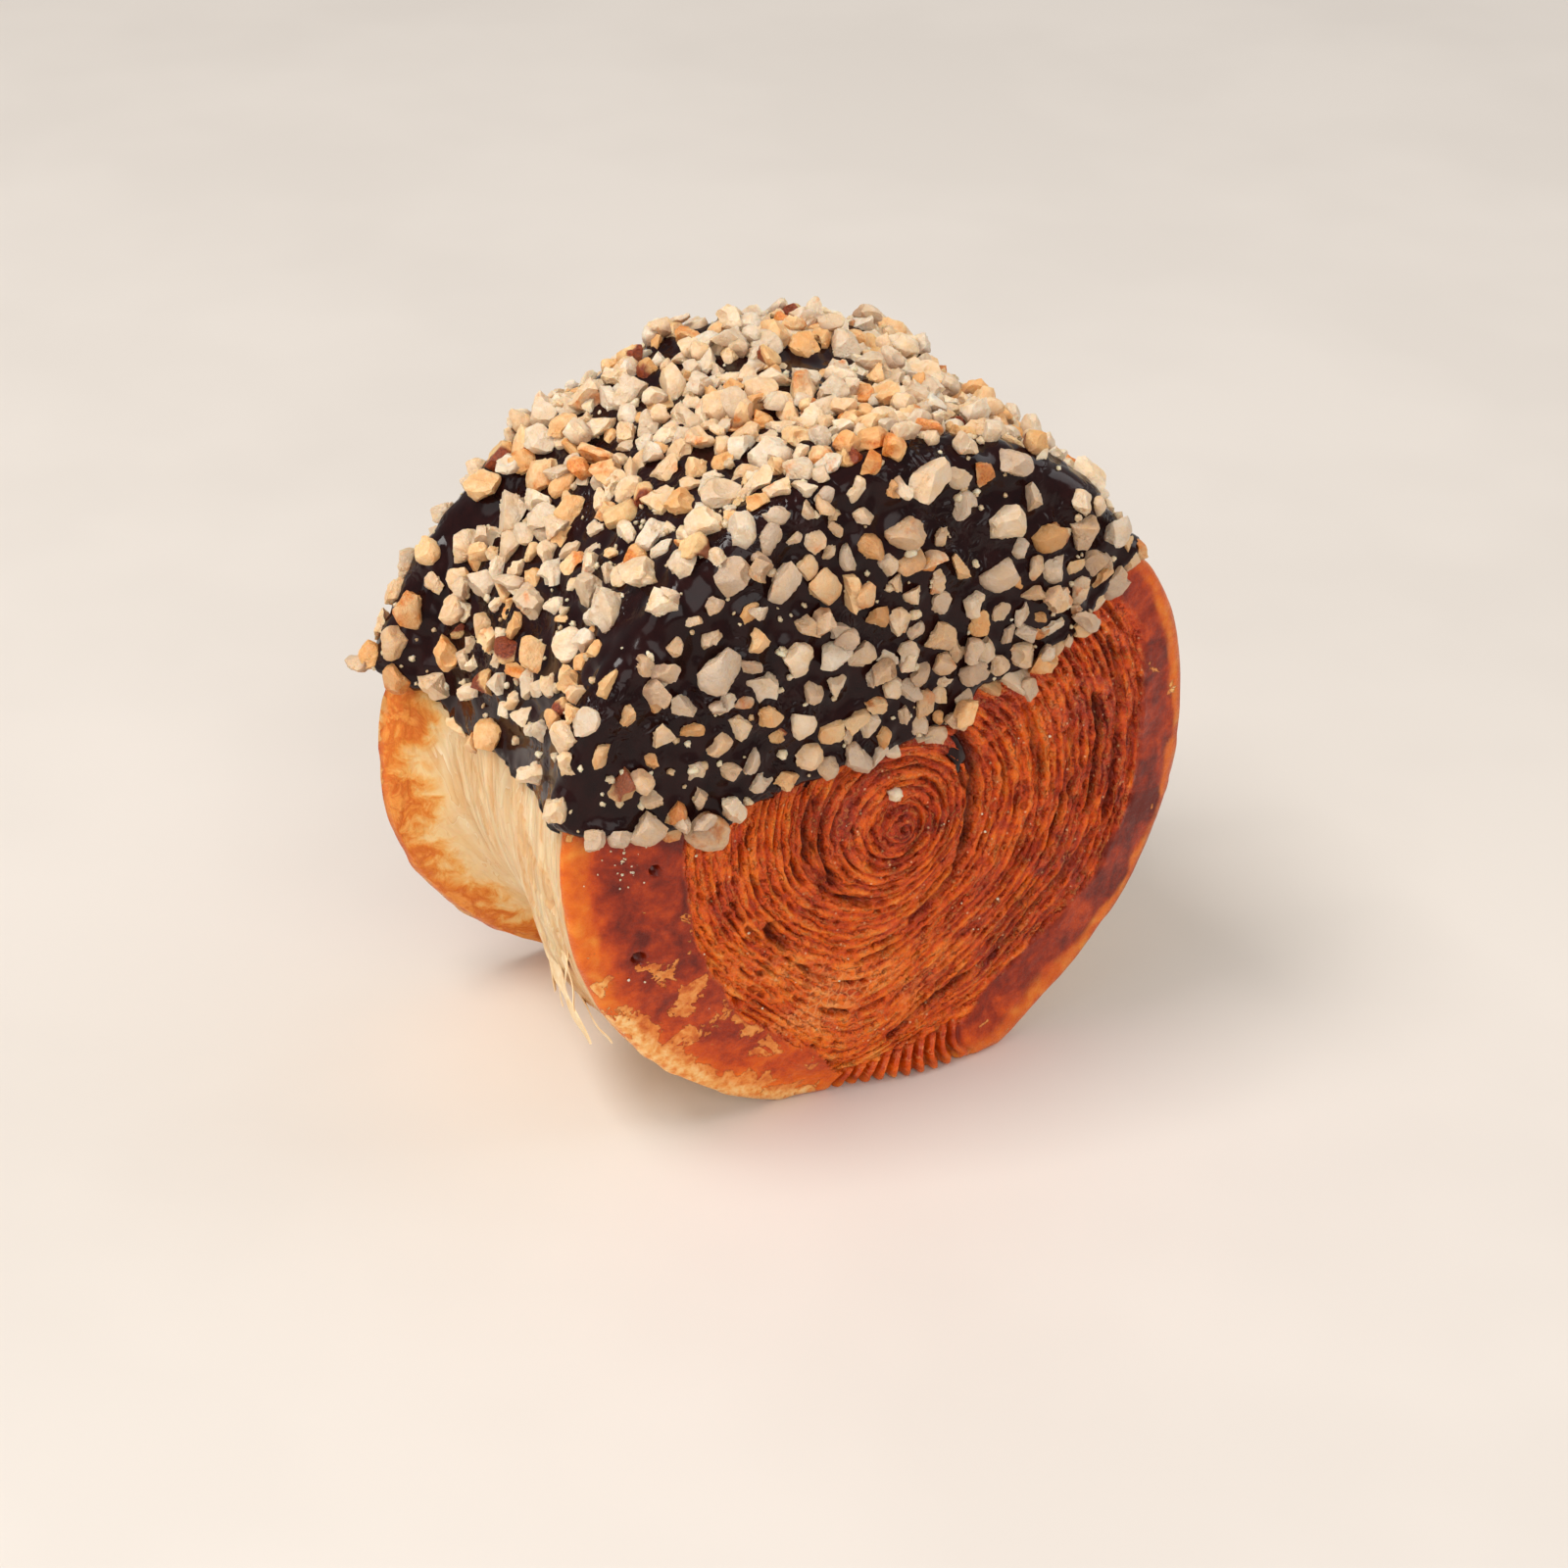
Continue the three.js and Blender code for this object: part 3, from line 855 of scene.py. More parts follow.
def simplified(points, faces, wanted):
    """Fewer triangles where a shape is flat, and the same ones along its edges."""
    mesh = bpy.data.meshes.new("chip")
    mesh.from_pydata(points.tolist(), [], faces.tolist())
    chip = bpy.data.objects.new("chip", mesh)
    bpy.context.scene.collection.objects.link(chip)
    fewer = chip.modifiers.new("fewer", "DECIMATE")
    fewer.ratio = wanted / len(faces)
    done = chip.evaluated_get(bpy.context.evaluated_depsgraph_get()).to_mesh()
    done.calc_loop_triangles()
    points = np.array([vertex.co[:] for vertex in done.vertices])
    faces = np.array([triangle.vertices[:] for triangle in done.loop_triangles])
    bpy.data.objects.remove(chip)
    bpy.data.meshes.remove(mesh)
    return points, faces


def chip_shapes(rng, count):
    sphere, faces = icosphere(4)
    shapes = []
    for _ in range(count):
        points = chopped(rng, sphere)
        points -= (points.max(axis=0) + points.min(axis=0)) / 2
        points /= np.abs(points).max()
        shapes.append(simplified(points, faces, CHIP_TRIANGLES))
    return shapes


def facing_frame(rng, normal, tilt):
    """Axes for a chip that lies on a surface, spun and tilted at random."""
    up = unit(normal + tilt * rng.normal(size=3))
    side = unit(np.cross(up, unit(rng.normal(size=3))))
    return np.stack([side, np.cross(up, side), up])


NOTABLE_NUTS = (  # x, y, z, size and kind of some that catch the eye
    (-41, 10, 35, 7.0, 1), (-29, -2, 44, 6.0, 1), (-22, -3, 42, 6.6, 1), (15, -3, 43, 6.6, 0),
    (23, -3, 39, 5.4, 3), (-32, -3, 30, 6.6, 1), (-44, 52, 40, 7.0, 2), (-38, 55, 40, 5.4, 3),
    (-16, -3, 40, 5.4, 2), (-11, -3, 38, 5.6, 2), (-46, -2, 15, 5.4, 3), (-52, 11, 11, 6.2, 0),
    (-54, 2, 11, 5.4, 0), (-30, -4, 8, 6.0, 0), (-34, -4, 5.4, 6.6, 0), (-43, -3, 8, 5.8, 0),
    (-50, -2, 6, 4.2, 1), (-46, -2, 6, 4.4, 1), (23, -4, 18, 6.0, 2), (18, -4, 22, 5.6, 0),
    (-19, 25, 50, 6.6, 0), (-16, 41, 52, 6.4, 0), (-26, -3, 34, 4.2, 2), (-53, 47, 8, 6.8, 0),
    (-54, 52, 19, 6.0, 2), (7, -5, 14, 5.0, 0), (9, -5, 11, 3.0, 1), (-21, -4, 11, 4.6, 2),
    (2, -2, 52, 6.6, 0), (-14, -4, 29, 5.4, 1), (24, -3, 29, 5.6, 0), (32, -3, 33, 5.0, 1),
    (29, -3, 43, 5.6, 0), (36, -3, 37, 5.6, 1), (8, -3, 47, 4.4, 1), (20, -3, 46, 4.6, 0),
)


BARE_SPOTS = (  # x, y, z and size of the places where the chocolate shows most
    (-6, -2, 48, 6), (8, -2, 43, 7), (25, -1, 44, 7), (-13, -4, 39, 5), (1, -1, 51, 5),
    (10, -4, 36, 5), (-46, 54, 30, 6), (-53, 52, 17, 6), (-46, 23, 26, 7), (-43, 3, 35, 6),
    (-43, 19, 32, 5), (-23, -3, 34, 5), (-36, -2, 30, 5), (-52, 10, 17, 7), (-45, -2, 21, 5),
    (-38, -3, 14, 6), (-51, -1, 11, 6), (5, 36, 54, 6), (-8, 52, 54, 5), (17, -2, 44, 6),
    (35, -1, 38, 4),
)


def bareness(point, normal, over):
    """How much the coat is left bare of nuts at a place, from 0 to 1."""
    spots = [math.exp(-(math.dist(point, spot[:3]) / spot[3]) ** 4) for spot in BARE_SPOTS]
    return max(0.97 * max(spots), sparseness(point, normal, over))


def sparseness(point, normal, over):
    """How thinly the nuts are strewn round a place, from 0 to 1."""
    x, y, z = point
    angle, radius = math.degrees(math.atan2(z, x)), math.hypot(x, z)
    patchy = 0.5 + 0.5 * float(noise(x / 8, y / 8, z / 8, seed=83))
    if normal[1] < -0.6:
        rim = 0.6 * math.exp(-((angle - 72) / 24) ** 4) * float(smoothstep(41, 45, radius))
        corner = float(smoothstep(-43, -47, x)) * math.exp(-((z - 13) / 5) ** 2)
        left = 0.32 * math.exp(-((angle - 150) / 22) ** 2)
        lower = 0.5 * float(smoothstep(16, 3, over) * smoothstep(-20, -8, x))
        plain = 0.62 * float(smoothstep(-10, -20, x) * smoothstep(15, 9, z))
        return min(1.0, max(rim, corner, plain, 0.5 * patchy + left - lower + 0.06))
    if normal[1] > 0.6:
        return 0.35 * patchy + 0.05
    side = math.exp(-((angle - 139) / 9) ** 2) * math.exp(-((y - 7) / 6) ** 2)
    rim = math.exp(-((angle - 157) / 12) ** 2) * math.exp(-((y - 54) / 4.5) ** 2)
    edge = 0.98 * float(smoothstep(12.0, 7.5, over) * smoothstep(56, 50, y))
    front_rim = math.exp(-((angle - 66) / 22) ** 4) * float(smoothstep(6, 1, y)) * 0.8
    shoulder = 0.30 * math.exp(-((angle - 143) / 20) ** 2)
    return min(1.0, max(side, rim, edge, front_rim, 0.45 * patchy * patchy + shoulder - 0.12))


def notable(coat):
    """The nuts that have a place of their own, each on the nearest spot of the coat."""
    shown = np.unique(coat.faces)
    shown = shown[coat.over[shown] > -0.6]
    nuts = []
    for x, y, z, size, kind in NOTABLE_NUTS:
        away = np.linalg.norm(coat.outer[shown] - np.array([x, y, z]), axis=1)
        spot = shown[np.argmin(away)]
        nuts.append({"place": coat.outer[spot], "normal": coat.normals[spot], "size": size,
                     "lift": 0.2, "kind": kind})
    return nuts


def strew(coat, rng):
    """Places for the nuts on the coat, closer together where it is less bare."""
    picks = coat.picks(rng, NUT_TRIES, -0.2)
    nuts = notable(coat)
    places, sizes = np.zeros((NUT_TRIES, 3)), np.zeros(NUT_TRIES)
    for index, nut in enumerate(nuts):
        places[index], sizes[index] = nut["place"], nut["size"]
    for pick in picks:
        corners = coat.faces[pick]
        share = rng.dirichlet((1, 1, 1))
        place = share @ coat.outer[corners]
        normal = unit(share @ coat.normals[corners])
        over = float(share @ coat.over[corners])
        size = 3.1 + 3.8 * rng.beta(1.6, 2.2)
        size *= 0.93 if normal[1] < -0.6 else 1.0
        bare = bareness(place, normal, over)
        if rng.random() < bare ** 1.5:
            continue
        apart = mix(0.80 if normal[1] < -0.6 else 0.70, 1.3, bare)
        count = len(nuts)
        away = np.linalg.norm(places[:count] - place, axis=1)
        if (away < apart * NUT_REACH * (sizes[:count] + size)).any():
            continue
        places[count], sizes[count] = place, size
        nuts.append({"place": place, "normal": normal, "size": size, "lift": 0.16, "kind": None})
    return nuts


def pile(nuts, rng):
    """Some nuts lie on others where they are thickest, on the top."""
    extra = []
    for nut in nuts:
        on_top = nut["place"][2] > 30 and nut["normal"][1] > -0.5
        if rng.random() < (0.24 if on_top else 0.14):
            side = np.cross(nut["normal"], unit(rng.normal(size=3)))
            size = (2.8 + 3.6 * rng.beta(1.8, 2.4)) * (1.0 if on_top else 0.85)
            place = nut["place"] + nut["normal"] * nut["size"] * 0.42 + side * nut["size"] * 0.45
            extra.append({"place": place, "normal": nut["normal"], "size": size, "lift": 0.1,
                          "kind": None})
    return nuts + extra


def nut_mesh(nuts, rng, shapes, kind):
    parts, tints, toasts, skins, soak_and_shade_parts = [], [], [], [], []
    for nut in nuts:
        shape, triangles = shapes[rng.integers(len(shapes))]
        scale = NUT_SCALE * np.array([1, rng.uniform(0.65, 1.0), rng.uniform(0.55, 0.9)])
        axes = facing_frame(rng, nut["normal"], 0.5)
        lift = nut["lift"] * nut["size"]
        flip = rng.choice((-1, 1), size=2)
        turned = shape * np.array([flip[0], flip[1], flip[0] * flip[1]])
        body = (turned * scale * nut["size"]) @ axes + nut["normal"] * lift
        parts.append((body + nut["place"], triangles))
        # The foot is wetted with chocolate; nuts on the front face are also painted darker as
        # shade.
        wetted = smoothstep(0.9, 0.0, body @ nut["normal"])
        front = float(smoothstep(0.35, 0.8, -nut["normal"][1]))
        soak_and_shade_parts.append(np.clip(wetted + front * rng.uniform(0.25, 0.75), 0, 1))
        skinned = unit(rng.normal(size=3))
        tints.append(np.full(len(shape), rng.random()))
        toasts.append(np.full(len(shape), rng.random() ** 1.8))
        skins.append(smoothstep(-0.05, 0.05, turned @ skinned - 0.15))
        toasts[-1] = toasts[-1] * (0.55 + 0.9 * smoothstep(-0.3, 0.6, turned @ skinned))
    values = {"tint": np.concatenate(tints), "toast": np.concatenate(toasts),
              "skin": np.concatenate(skins), "soak_and_shade": np.concatenate(soak_and_shade_parts)}
    piece = make_piece(kind["name"], *joined(parts), nut_material(kind), values)
    piece.data.set_sharp_from_angle(angle=math.radians(36))
    return piece


NUT_KINDS = (
    {"name": "pale_nuts", "share": 0.42, "light": (246, 228, 200), "deep": (230, 190, 144),
     "core": (234, 190, 128), "toast": 0.6, "skin": 0.0},
    {"name": "ivory_nuts", "share": 0.34, "light": (238, 225, 203), "deep": (214, 184, 150),
     "core": (226, 190, 142), "toast": 0.36, "skin": 0.0},
    {"name": "toasted_nuts", "share": 0.21, "light": (246, 214, 166), "deep": (232, 172, 106),
     "core": (228, 156, 84), "toast": 1.0, "skin": 0.0},
    {"name": "skin_on_nuts", "share": 0.03, "light": (240, 206, 152), "deep": (216, 160, 96),
     "core": (216, 160, 96), "toast": 0.8, "skin": 1.0},
)


def make_nuts(nuts, rng):
    shapes = chip_shapes(rng, CHIP_SHAPES)
    shares = np.cumsum([kind["share"] for kind in NUT_KINDS])
    sorted_nuts = [[] for _ in NUT_KINDS]
    for nut in nuts:
        drawn = int(np.searchsorted(shares, rng.random() * shares[-1]))
        sorted_nuts[drawn if nut["kind"] is None else nut["kind"]].append(nut)
    return [nut_mesh(chosen, rng, shapes, kind) for chosen, kind in zip(sorted_nuts, NUT_KINDS)]


def loose_crumbs(rng):
    """Crumbs that fell on the near face: x, z and size."""
    crumbs = [(-1.0, 2.0, 2.4)]
    for _ in range(30):
        crumbs.append((rng.normal(-44.5, 1.8), rng.normal(0.5, 2.4), 0.2 + 0.3 * rng.random() ** 2))
    for _ in range(30):
        angle, radius = rng.uniform(-math.pi, 0.3), rng.uniform(8, 49)
        size = 0.16 + 0.32 * rng.random() ** 2
        crumbs.append((radius * math.cos(angle), radius * math.sin(angle), size))
    return crumbs


def make_crumbs(coat, rng):
    """Fine nut crumbs and dust between the nuts, and a few that fell on the dough."""
    sphere, triangles = icosphere(1)
    parts, tints = [], []
    for pick in coat.picks(rng, CRUMB_TRIES, 0.3):
        corners = coat.faces[pick]
        place = coat.outer[corners].mean(axis=0)
        normal = unit(coat.normals[corners].mean(axis=0))
        crowded = coat.crowd[corners].mean()
        if rng.random() > crowded ** 2:
            continue
        size = 0.5 + 1.3 * rng.random() ** 2
        shape = sphere * (1 + 0.25 * rng.normal(size=(len(sphere), 1)).clip(-1, 1))
        shape = shape * rng.uniform(0.5, 1, size=3) * size * 0.6
        turned = shape @ facing_frame(rng, normal, 1.0)
        parts.append((turned + place + normal * size * 0.15, triangles))
        tints.append(np.full(len(sphere), rng.random()))
    for x, z, size in loose_crumbs(rng):
        share = min(1.0, math.hypot(x, z) / FACE_EDGE)
        place = np.array([x, float(near_face(share)) + 0.05 * size, z])
        shape = sphere * (1 + 0.2 * rng.normal(size=(len(sphere), 1)).clip(-1, 1)) * size * 0.5
        parts.append((shape + place, triangles))
        tints.append(np.full(len(sphere), 0.9))
    tint = np.concatenate(tints)
    values = {"tint": tint, "toast": 0 * tint, "skin": 0 * tint, "soak_and_shade": 0 * tint}
    kind = {"name": "nut_crumbs", "light": (250, 236, 206), "deep": (196, 160, 118),
            "core": (226, 190, 142), "toast": 0.3, "skin": 0.0}
    return make_piece(kind["name"], *joined(parts), nut_material(kind), values)


# ---- The drip and the pastry films ----

def make_drip():
    """Chocolate that ran into the groove round the middle of the winding."""
    sphere, faces = icosphere(3)
    down = 0.5 - 0.5 * sphere[:, 2]
    width = (1.9 - 0.8 * down) * (1 + 0.35 * noise(down * 5, sphere[:, 0], seed=92))
    x = 8.9 + 2.6 * down - 0.9 * down ** 2 + sphere[:, 0] * width
    z = 9.0 - 7.6 * down
    y = -1.2 + sphere[:, 1] * 1.0 + 0.15 * noise(sphere[:, 0] * 2, z / 1.5, seed=91)
    return make_piece("chocolate_drip", np.stack([x, y, z], axis=1), faces, chocolate_material(),
                      {"crowd": 0.2 + 0 * x})


FLAKES = (  # the hanging films: degrees and y of the root, degrees, y and radius of the tip, width
    (-156, 21, -141, 9, 58.2, 3.4), (-153, 26, -143, 17, 56.8, 4.2),
    (-158, 14, -150, 7, 56.0, 2.4), (-150, 31, -140, 24, 56.2, 4.4),
    (-163, 8, -158, 4.5, 55.4, 1.5), (-147, 18, -136, 11, 56.6, 2.4),
)
FLAKE_STEPS = 16
FLAKE_THICKNESS = 0.2


def film(root, root_y, tip, tip_y, tip_radius, width, seed):
    """One thin curled film of pastry that peels off the side wall and hangs to a torn tip."""
    lifted = tip_radius - float(wall_radius(math.radians(tip), tip_y))

    def beside(degrees, y, radius):
        x, z = polar(degrees, radius)
        return np.array([x, y, z])

    def along(share):
        degrees, y = mix(root, tip, share), mix(root_y, tip_y, share)
        wall = float(wall_radius(math.radians(degrees), y))
        return beside(degrees, y, wall + mix(-0.6, lifted, share ** 1.5))

    start, end = along(0), along(1)
    outward = beside(0.5 * (root + tip), 0.0, 1.0)
    across = unit(np.cross(unit(end - start), outward))
    points = []
    for step in range(FLAKE_STEPS + 1):
        share = step / FLAKE_STEPS
        waver = 0.5 * float(noise(share * 3, seed=seed + 7))
        middle = along(share) + outward * waver * share
        torn = 1 + 0.6 * float(noise(share * 5, seed=seed))
        half = 0.5 * width * torn * (1 - 0.85 * share ** 2)
        curl = outward * 0.35 * half * math.sin(2.4 * share + seed)
        for side in (-1, 1):
            edge = middle + across * half * side + curl * side
            points += [edge + outward * FLAKE_THICKNESS / 2, edge - outward * FLAKE_THICKNESS / 2]
    faces = []
    for a in range(0, 4 * FLAKE_STEPS, 4):
        for p, q in ((0, 2), (2, 3), (3, 1), (1, 0)):
            faces += [(a + p, a + q, a + q + 4), (a + p, a + q + 4, a + p + 4)]
    last = 4 * FLAKE_STEPS
    faces += [(0, 1, 3), (0, 3, 2), (last, last + 3, last + 1), (last, last + 2, last + 3)]
    points, faces = np.array(points), np.array(faces)
    a, b, c = (points[faces[:, k]] - start for k in range(3))
    inside_out = np.einsum("ij,ij->", a, np.cross(b, c)) < 0
    return points, faces[:, ::-1] if inside_out else faces


def make_flakes():
    films = [film(*flake, seed) for seed, flake in enumerate(FLAKES)]
    piece = make_piece("pastry_flakes", *joined(films), flake_material())
    piece.data.set_sharp_from_angle(angle=math.radians(60))
    return piece


# ---- Materials ----

def linear(colour):
    """A screen colour of 0 to 255 as the linear colour that a shader takes."""
    parts = [c / 255 for c in colour]
    return tuple(c / 12.92 if c <= 0.04045 else ((c + 0.055) / 1.055) ** 2.4 for c in parts) + (1,)


class Shader:
    """Short names for the nodes of one material."""

    def __init__(self, name, **settings):
        self.material = bpy.data.materials.new(name)
        self.material.use_nodes = True
        self.tree = self.material.node_tree
        self.surface = self.tree.nodes["Principled BSDF"]
        for key, value in settings.items():
            self.surface.inputs[key.replace("_", " ")].default_value = value

    def put(self, value, socket):
        if isinstance(value, (int, float, tuple)):
            socket.default_value = value
        else:
            self.tree.links.new(value, socket)

    def out(self, key, value):
        self.put(value, self.surface.inputs[key])

    def value(self, name):
        node = self.tree.nodes.new("ShaderNodeAttribute")
        node.attribute_name = name
        return node.outputs["Fac"]

    def place(self, x=1.0, y=1.0, z=1.0):
        """The place on the object in millimetres, stretched."""
        where = self.tree.nodes.new("ShaderNodeTexCoord").outputs["Object"]
        node = self.tree.nodes.new("ShaderNodeMapping")
        node.inputs["Scale"].default_value = (x * 1000, y * 1000, z * 1000)
        self.tree.links.new(where, node.inputs["Vector"])
        return node.outputs["Vector"]

    def joined(self, x, y, z):
        node = self.tree.nodes.new("ShaderNodeCombineXYZ")
        for value, key in ((x, "X"), (y, "Y"), (z, "Z")):
            self.put(value, node.inputs[key])
        return node.outputs["Vector"]

    def noise(self, vector, scale, detail=3.0, rough=0.55, warp=0.0):
        node = self.tree.nodes.new("ShaderNodeTexNoise")
        self.tree.links.new(vector, node.inputs["Vector"])
        for key, value in (("Scale", scale), ("Detail", detail), ("Roughness", rough),
                           ("Distortion", warp)):
            node.inputs[key].default_value = value
        return node.outputs["Fac"]

    def cells(self, vector, scale, feature="F1"):
        node = self.tree.nodes.new("ShaderNodeTexVoronoi")
        node.feature = feature
        self.tree.links.new(vector, node.inputs["Vector"])
        node.inputs["Scale"].default_value = scale
        return node.outputs["Distance"]

    def math(self, kind, a, b=0.0, clamp=False):
        node = self.tree.nodes.new("ShaderNodeMath")
        node.operation = kind
        node.use_clamp = clamp
        self.put(a, node.inputs[0])
        self.put(b, node.inputs[1])
        return node.outputs["Value"]

    def times(self, a, b, clamp=False):
        return self.math("MULTIPLY", a, b, clamp)

    def plus(self, a, b, clamp=False):
        return self.math("ADD", a, b, clamp)

    def varied(self, value, grain, by):
        """A value that a noise moves up and down."""
        return self.plus(value, self.span(grain, 0.3, 0.7, -by, by))

    def span(self, value, low, high, to_low=0.0, to_high=1.0):
        node = self.tree.nodes.new("ShaderNodeMapRange")
        self.put(value, node.inputs["Value"])
        for key, number in (("From Min", low), ("From Max", high), ("To Min", to_low),
                            ("To Max", to_high)):
            node.inputs[key].default_value = number
        return node.outputs["Result"]

    def ramp(self, value, *stops):
        node = self.tree.nodes.new("ShaderNodeValToRGB")
        ramp = node.color_ramp
        while len(ramp.elements) < len(stops):
            ramp.elements.new(0.5)
        for element, (at, colour) in zip(ramp.elements, stops):
            element.position = at
            element.color = linear(colour)
        self.put(value, node.inputs["Fac"])
        return node.outputs["Color"]

    def across_layers(self, ragged):
        """A number that grows by 1 from each layer of the strip to the next, made ragged."""
        angle = self.math("ARCTAN2", self.value("line_z"), self.value("line_x"))
        return self.plus(self.times(angle, LAYERS / (2 * math.pi)), ragged)

    def line_at(self, across, middle, width):
        """A thin line along every layer, at one place across it."""
        share = self.math("FRACT", self.plus(across, 0.5 - middle))
        away = self.math("ABSOLUTE", self.math("SUBTRACT", share, 0.5))
        return self.span(away, width, 0.0)

    def blend(self, share, a, b, kind="MIX"):
        node = self.tree.nodes.new("ShaderNodeMix")
        node.data_type = "RGBA"
        node.blend_type = kind
        self.put(share, node.inputs[0])
        for value, socket in ((a, node.inputs[6]), (b, node.inputs[7])):
            self.put(linear(value) if isinstance(value, tuple) else value, socket)
        return node.outputs[2]

    def bump(self, height, distance, strength=1.0, after=None):
        node = self.tree.nodes.new("ShaderNodeBump")
        node.inputs["Strength"].default_value = strength
        node.inputs["Distance"].default_value = distance * MM
        self.put(height, node.inputs["Height"])
        if after is not None:
            self.tree.links.new(after, node.inputs["Normal"])
        return node.outputs["Normal"]


def dough_layers(s, place):
    """The open layers' colour and relief: crumbly orange, thin pale crests that are partly a
    painted highlight, and dark cracks that are painted shade.
    """
    lines = s.joined(s.value("line_x"), s.value("line_z"), s.noise(place, 0.12, 2.0))
    fine = s.noise(lines, 1.2, 3.0, 0.6)
    crumbs = s.noise(place, 1.1, 4.0, 0.65)
    broken = s.noise(place, 0.42, 3.0, 0.6)
    parted = s.noise(place, 0.3, 3.0, 0.6)
    ragged = s.plus(s.span(parted, 0.3, 0.7, -0.3, 0.3),
                    s.span(crumbs, 0.3, 0.7, -0.3, 0.3))
    across = s.across_layers(ragged)
    # crest: pale lines on the layers' edges, partly their own crisper dough and partly a painted
    # highlight.
    crest = s.times(s.line_at(across, 0.38, 0.12), s.span(broken, 0.42, 0.6))
    thin = s.times(s.line_at(across, 0.72, 0.08), s.span(broken, 0.55, 0.4))
    crest = s.math("MAXIMUM", crest, s.times(thin, 0.7))
    # crack: dark lines in the gaps between layers, painted shade; the bump carves them too.
    crack = s.times(s.line_at(across, 0.02, 0.13), s.span(parted, 0.42, 0.6))
    slit = s.times(s.line_at(across, 0.55, 0.07), s.span(broken, 0.5, 0.62))
    crack = s.math("MAXIMUM", crack, slit)
    edges = s.cells(s.place(1.0, 0.4, 1.0), 0.62, "DISTANCE_TO_EDGE")
    lace = s.times(s.span(edges, 0.14, 0.04), s.value("lace"))
    spots = s.times(s.span(s.cells(place, 0.7), 0.34, 0.16), s.span(crumbs, 0.5, 0.62))
    crest = s.math("MAXIMUM", s.math("MAXIMUM", crest, lace), spots)
    patches = s.noise(place, 0.16, 3.0, 0.55, 0.6)
    tone = s.varied(s.value("tone"), fine, 0.06)
    tone = s.varied(tone, crumbs, 0.09)
    tone = s.varied(tone, patches, 0.16)
    colour = s.ramp(tone, (0.05, (122, 26, 3)), (0.27, (182, 52, 4)), (0.46, (224, 84, 6)),
                    (0.66, (246, 114, 16)), (0.92, (254, 158, 68)))
    colour = s.blend(s.times(crest, 0.64), colour, (254, 166, 98))
    colour = s.blend(s.times(crack, 0.55), colour, (116, 24, 2))
    height = s.plus(s.math("SUBTRACT", s.times(crest, 0.6), crack),
                    s.times(crumbs, 1.9))
    return colour, s.times(height, s.value("open"))


def dough_band(s, place):
    """The smooth outer band's colour, its toasted rim and the patches where its skin is off."""
    stain = s.noise(place, 0.2, 3.0, 0.55, 0.5)
    fine = s.noise(place, 0.8, 4.0, 0.6, 0.3)
    torn = s.noise(place, 0.23, 5.0, 0.6, 0.35)
    patch = s.span(s.plus(torn, s.value("patch")), 0.70, 0.715)
    light = s.varied(s.value("tone"), stain, 0.22)
    light = s.varied(light, fine, 0.09)
    band = s.ramp(light, (0.05, (100, 20, 3)), (0.28, (150, 42, 7)), (0.5, (196, 70, 10)),
                  (0.85, (238, 112, 16)))
    bare = s.ramp(fine, (0.35, (198, 92, 28)), (0.5, (226, 132, 54)), (0.65, (240, 162, 84)))
    band = s.blend(s.times(patch, 0.85), band, bare)
    rim = s.ramp(s.noise(place, 0.3, 3.0, 0.5, 0.4), (0.3, (206, 84, 12)), (0.5, (228, 112, 24)),
                 (0.7, (240, 150, 54)))
    pale = s.ramp(fine, (0.35, (232, 140, 56)), (0.5, (246, 184, 104)), (0.65, (252, 214, 150)))
    return band, s.blend(patch, rim, pale), patch


def dough_wall(s, place):
    """The side wall: cream, in thin sheets with sharp edges, and rough gold at its borders."""
    streaks = s.noise(s.place(0.07, 0.4, 0.07), 1.0, 4.0, 0.6, 0.4)
    level = s.times(s.noise(s.place(0.035, 0.17, 0.035), 1.0, 4.0, 0.5, 0.5), 17.0)
    across = s.math("FRACT", level)
    ply = s.noise(s.joined(s.math("FLOOR", level), 0.5, 0.5), 1.7, 0.0)
    sheet = s.plus(s.span(streaks, 0.3, 0.7, -0.15, 0.35),
                   s.times(s.value("tone"), 0.45))
    sheet = s.plus(sheet, s.span(ply, 0.25, 0.75, -0.18, 0.28))
    cream = s.ramp(sheet, (0.05, (216, 164, 106)), (0.3, (232, 194, 142)), (0.6, (240, 214, 170)),
                   (0.9, (248, 232, 200)))
    # A painted highlight along each sheet's edge, and painted shade just behind it.
    lit = s.times(s.span(across, 0.10, 0.0), s.span(streaks, 0.35, 0.6))
    shade = s.times(s.span(across, 0.84, 1.0), 0.4)
    cream = s.blend(s.times(lit, 0.6), cream, (252, 240, 214))
    cream = s.blend(shade, cream, (214, 158, 96))
    rough = s.noise(place, 0.30, 5.0, 0.65, 0.5)
    toast = s.varied(s.value("toast"), rough, 0.34)
    crust = s.ramp(toast, (0.15, (242, 208, 150)), (0.42, (238, 178, 98)), (0.62, (228, 138, 48)),
                   (0.8, (212, 108, 28)), (1.0, (236, 152, 66)))
    wall = s.blend(s.span(s.value("toast"), 0.0, 0.3), cream, crust)
    # Painted shade in the creases and along the sheets' edges.
    wall = s.blend(s.times(s.value("dark"), 0.35, True), wall, (214, 148, 84))
    relief = s.plus(s.times(across, -0.7),
                    s.times(s.times(rough, s.value("toast")), 3.0))
    return wall, s.times(relief, s.value("wall"))


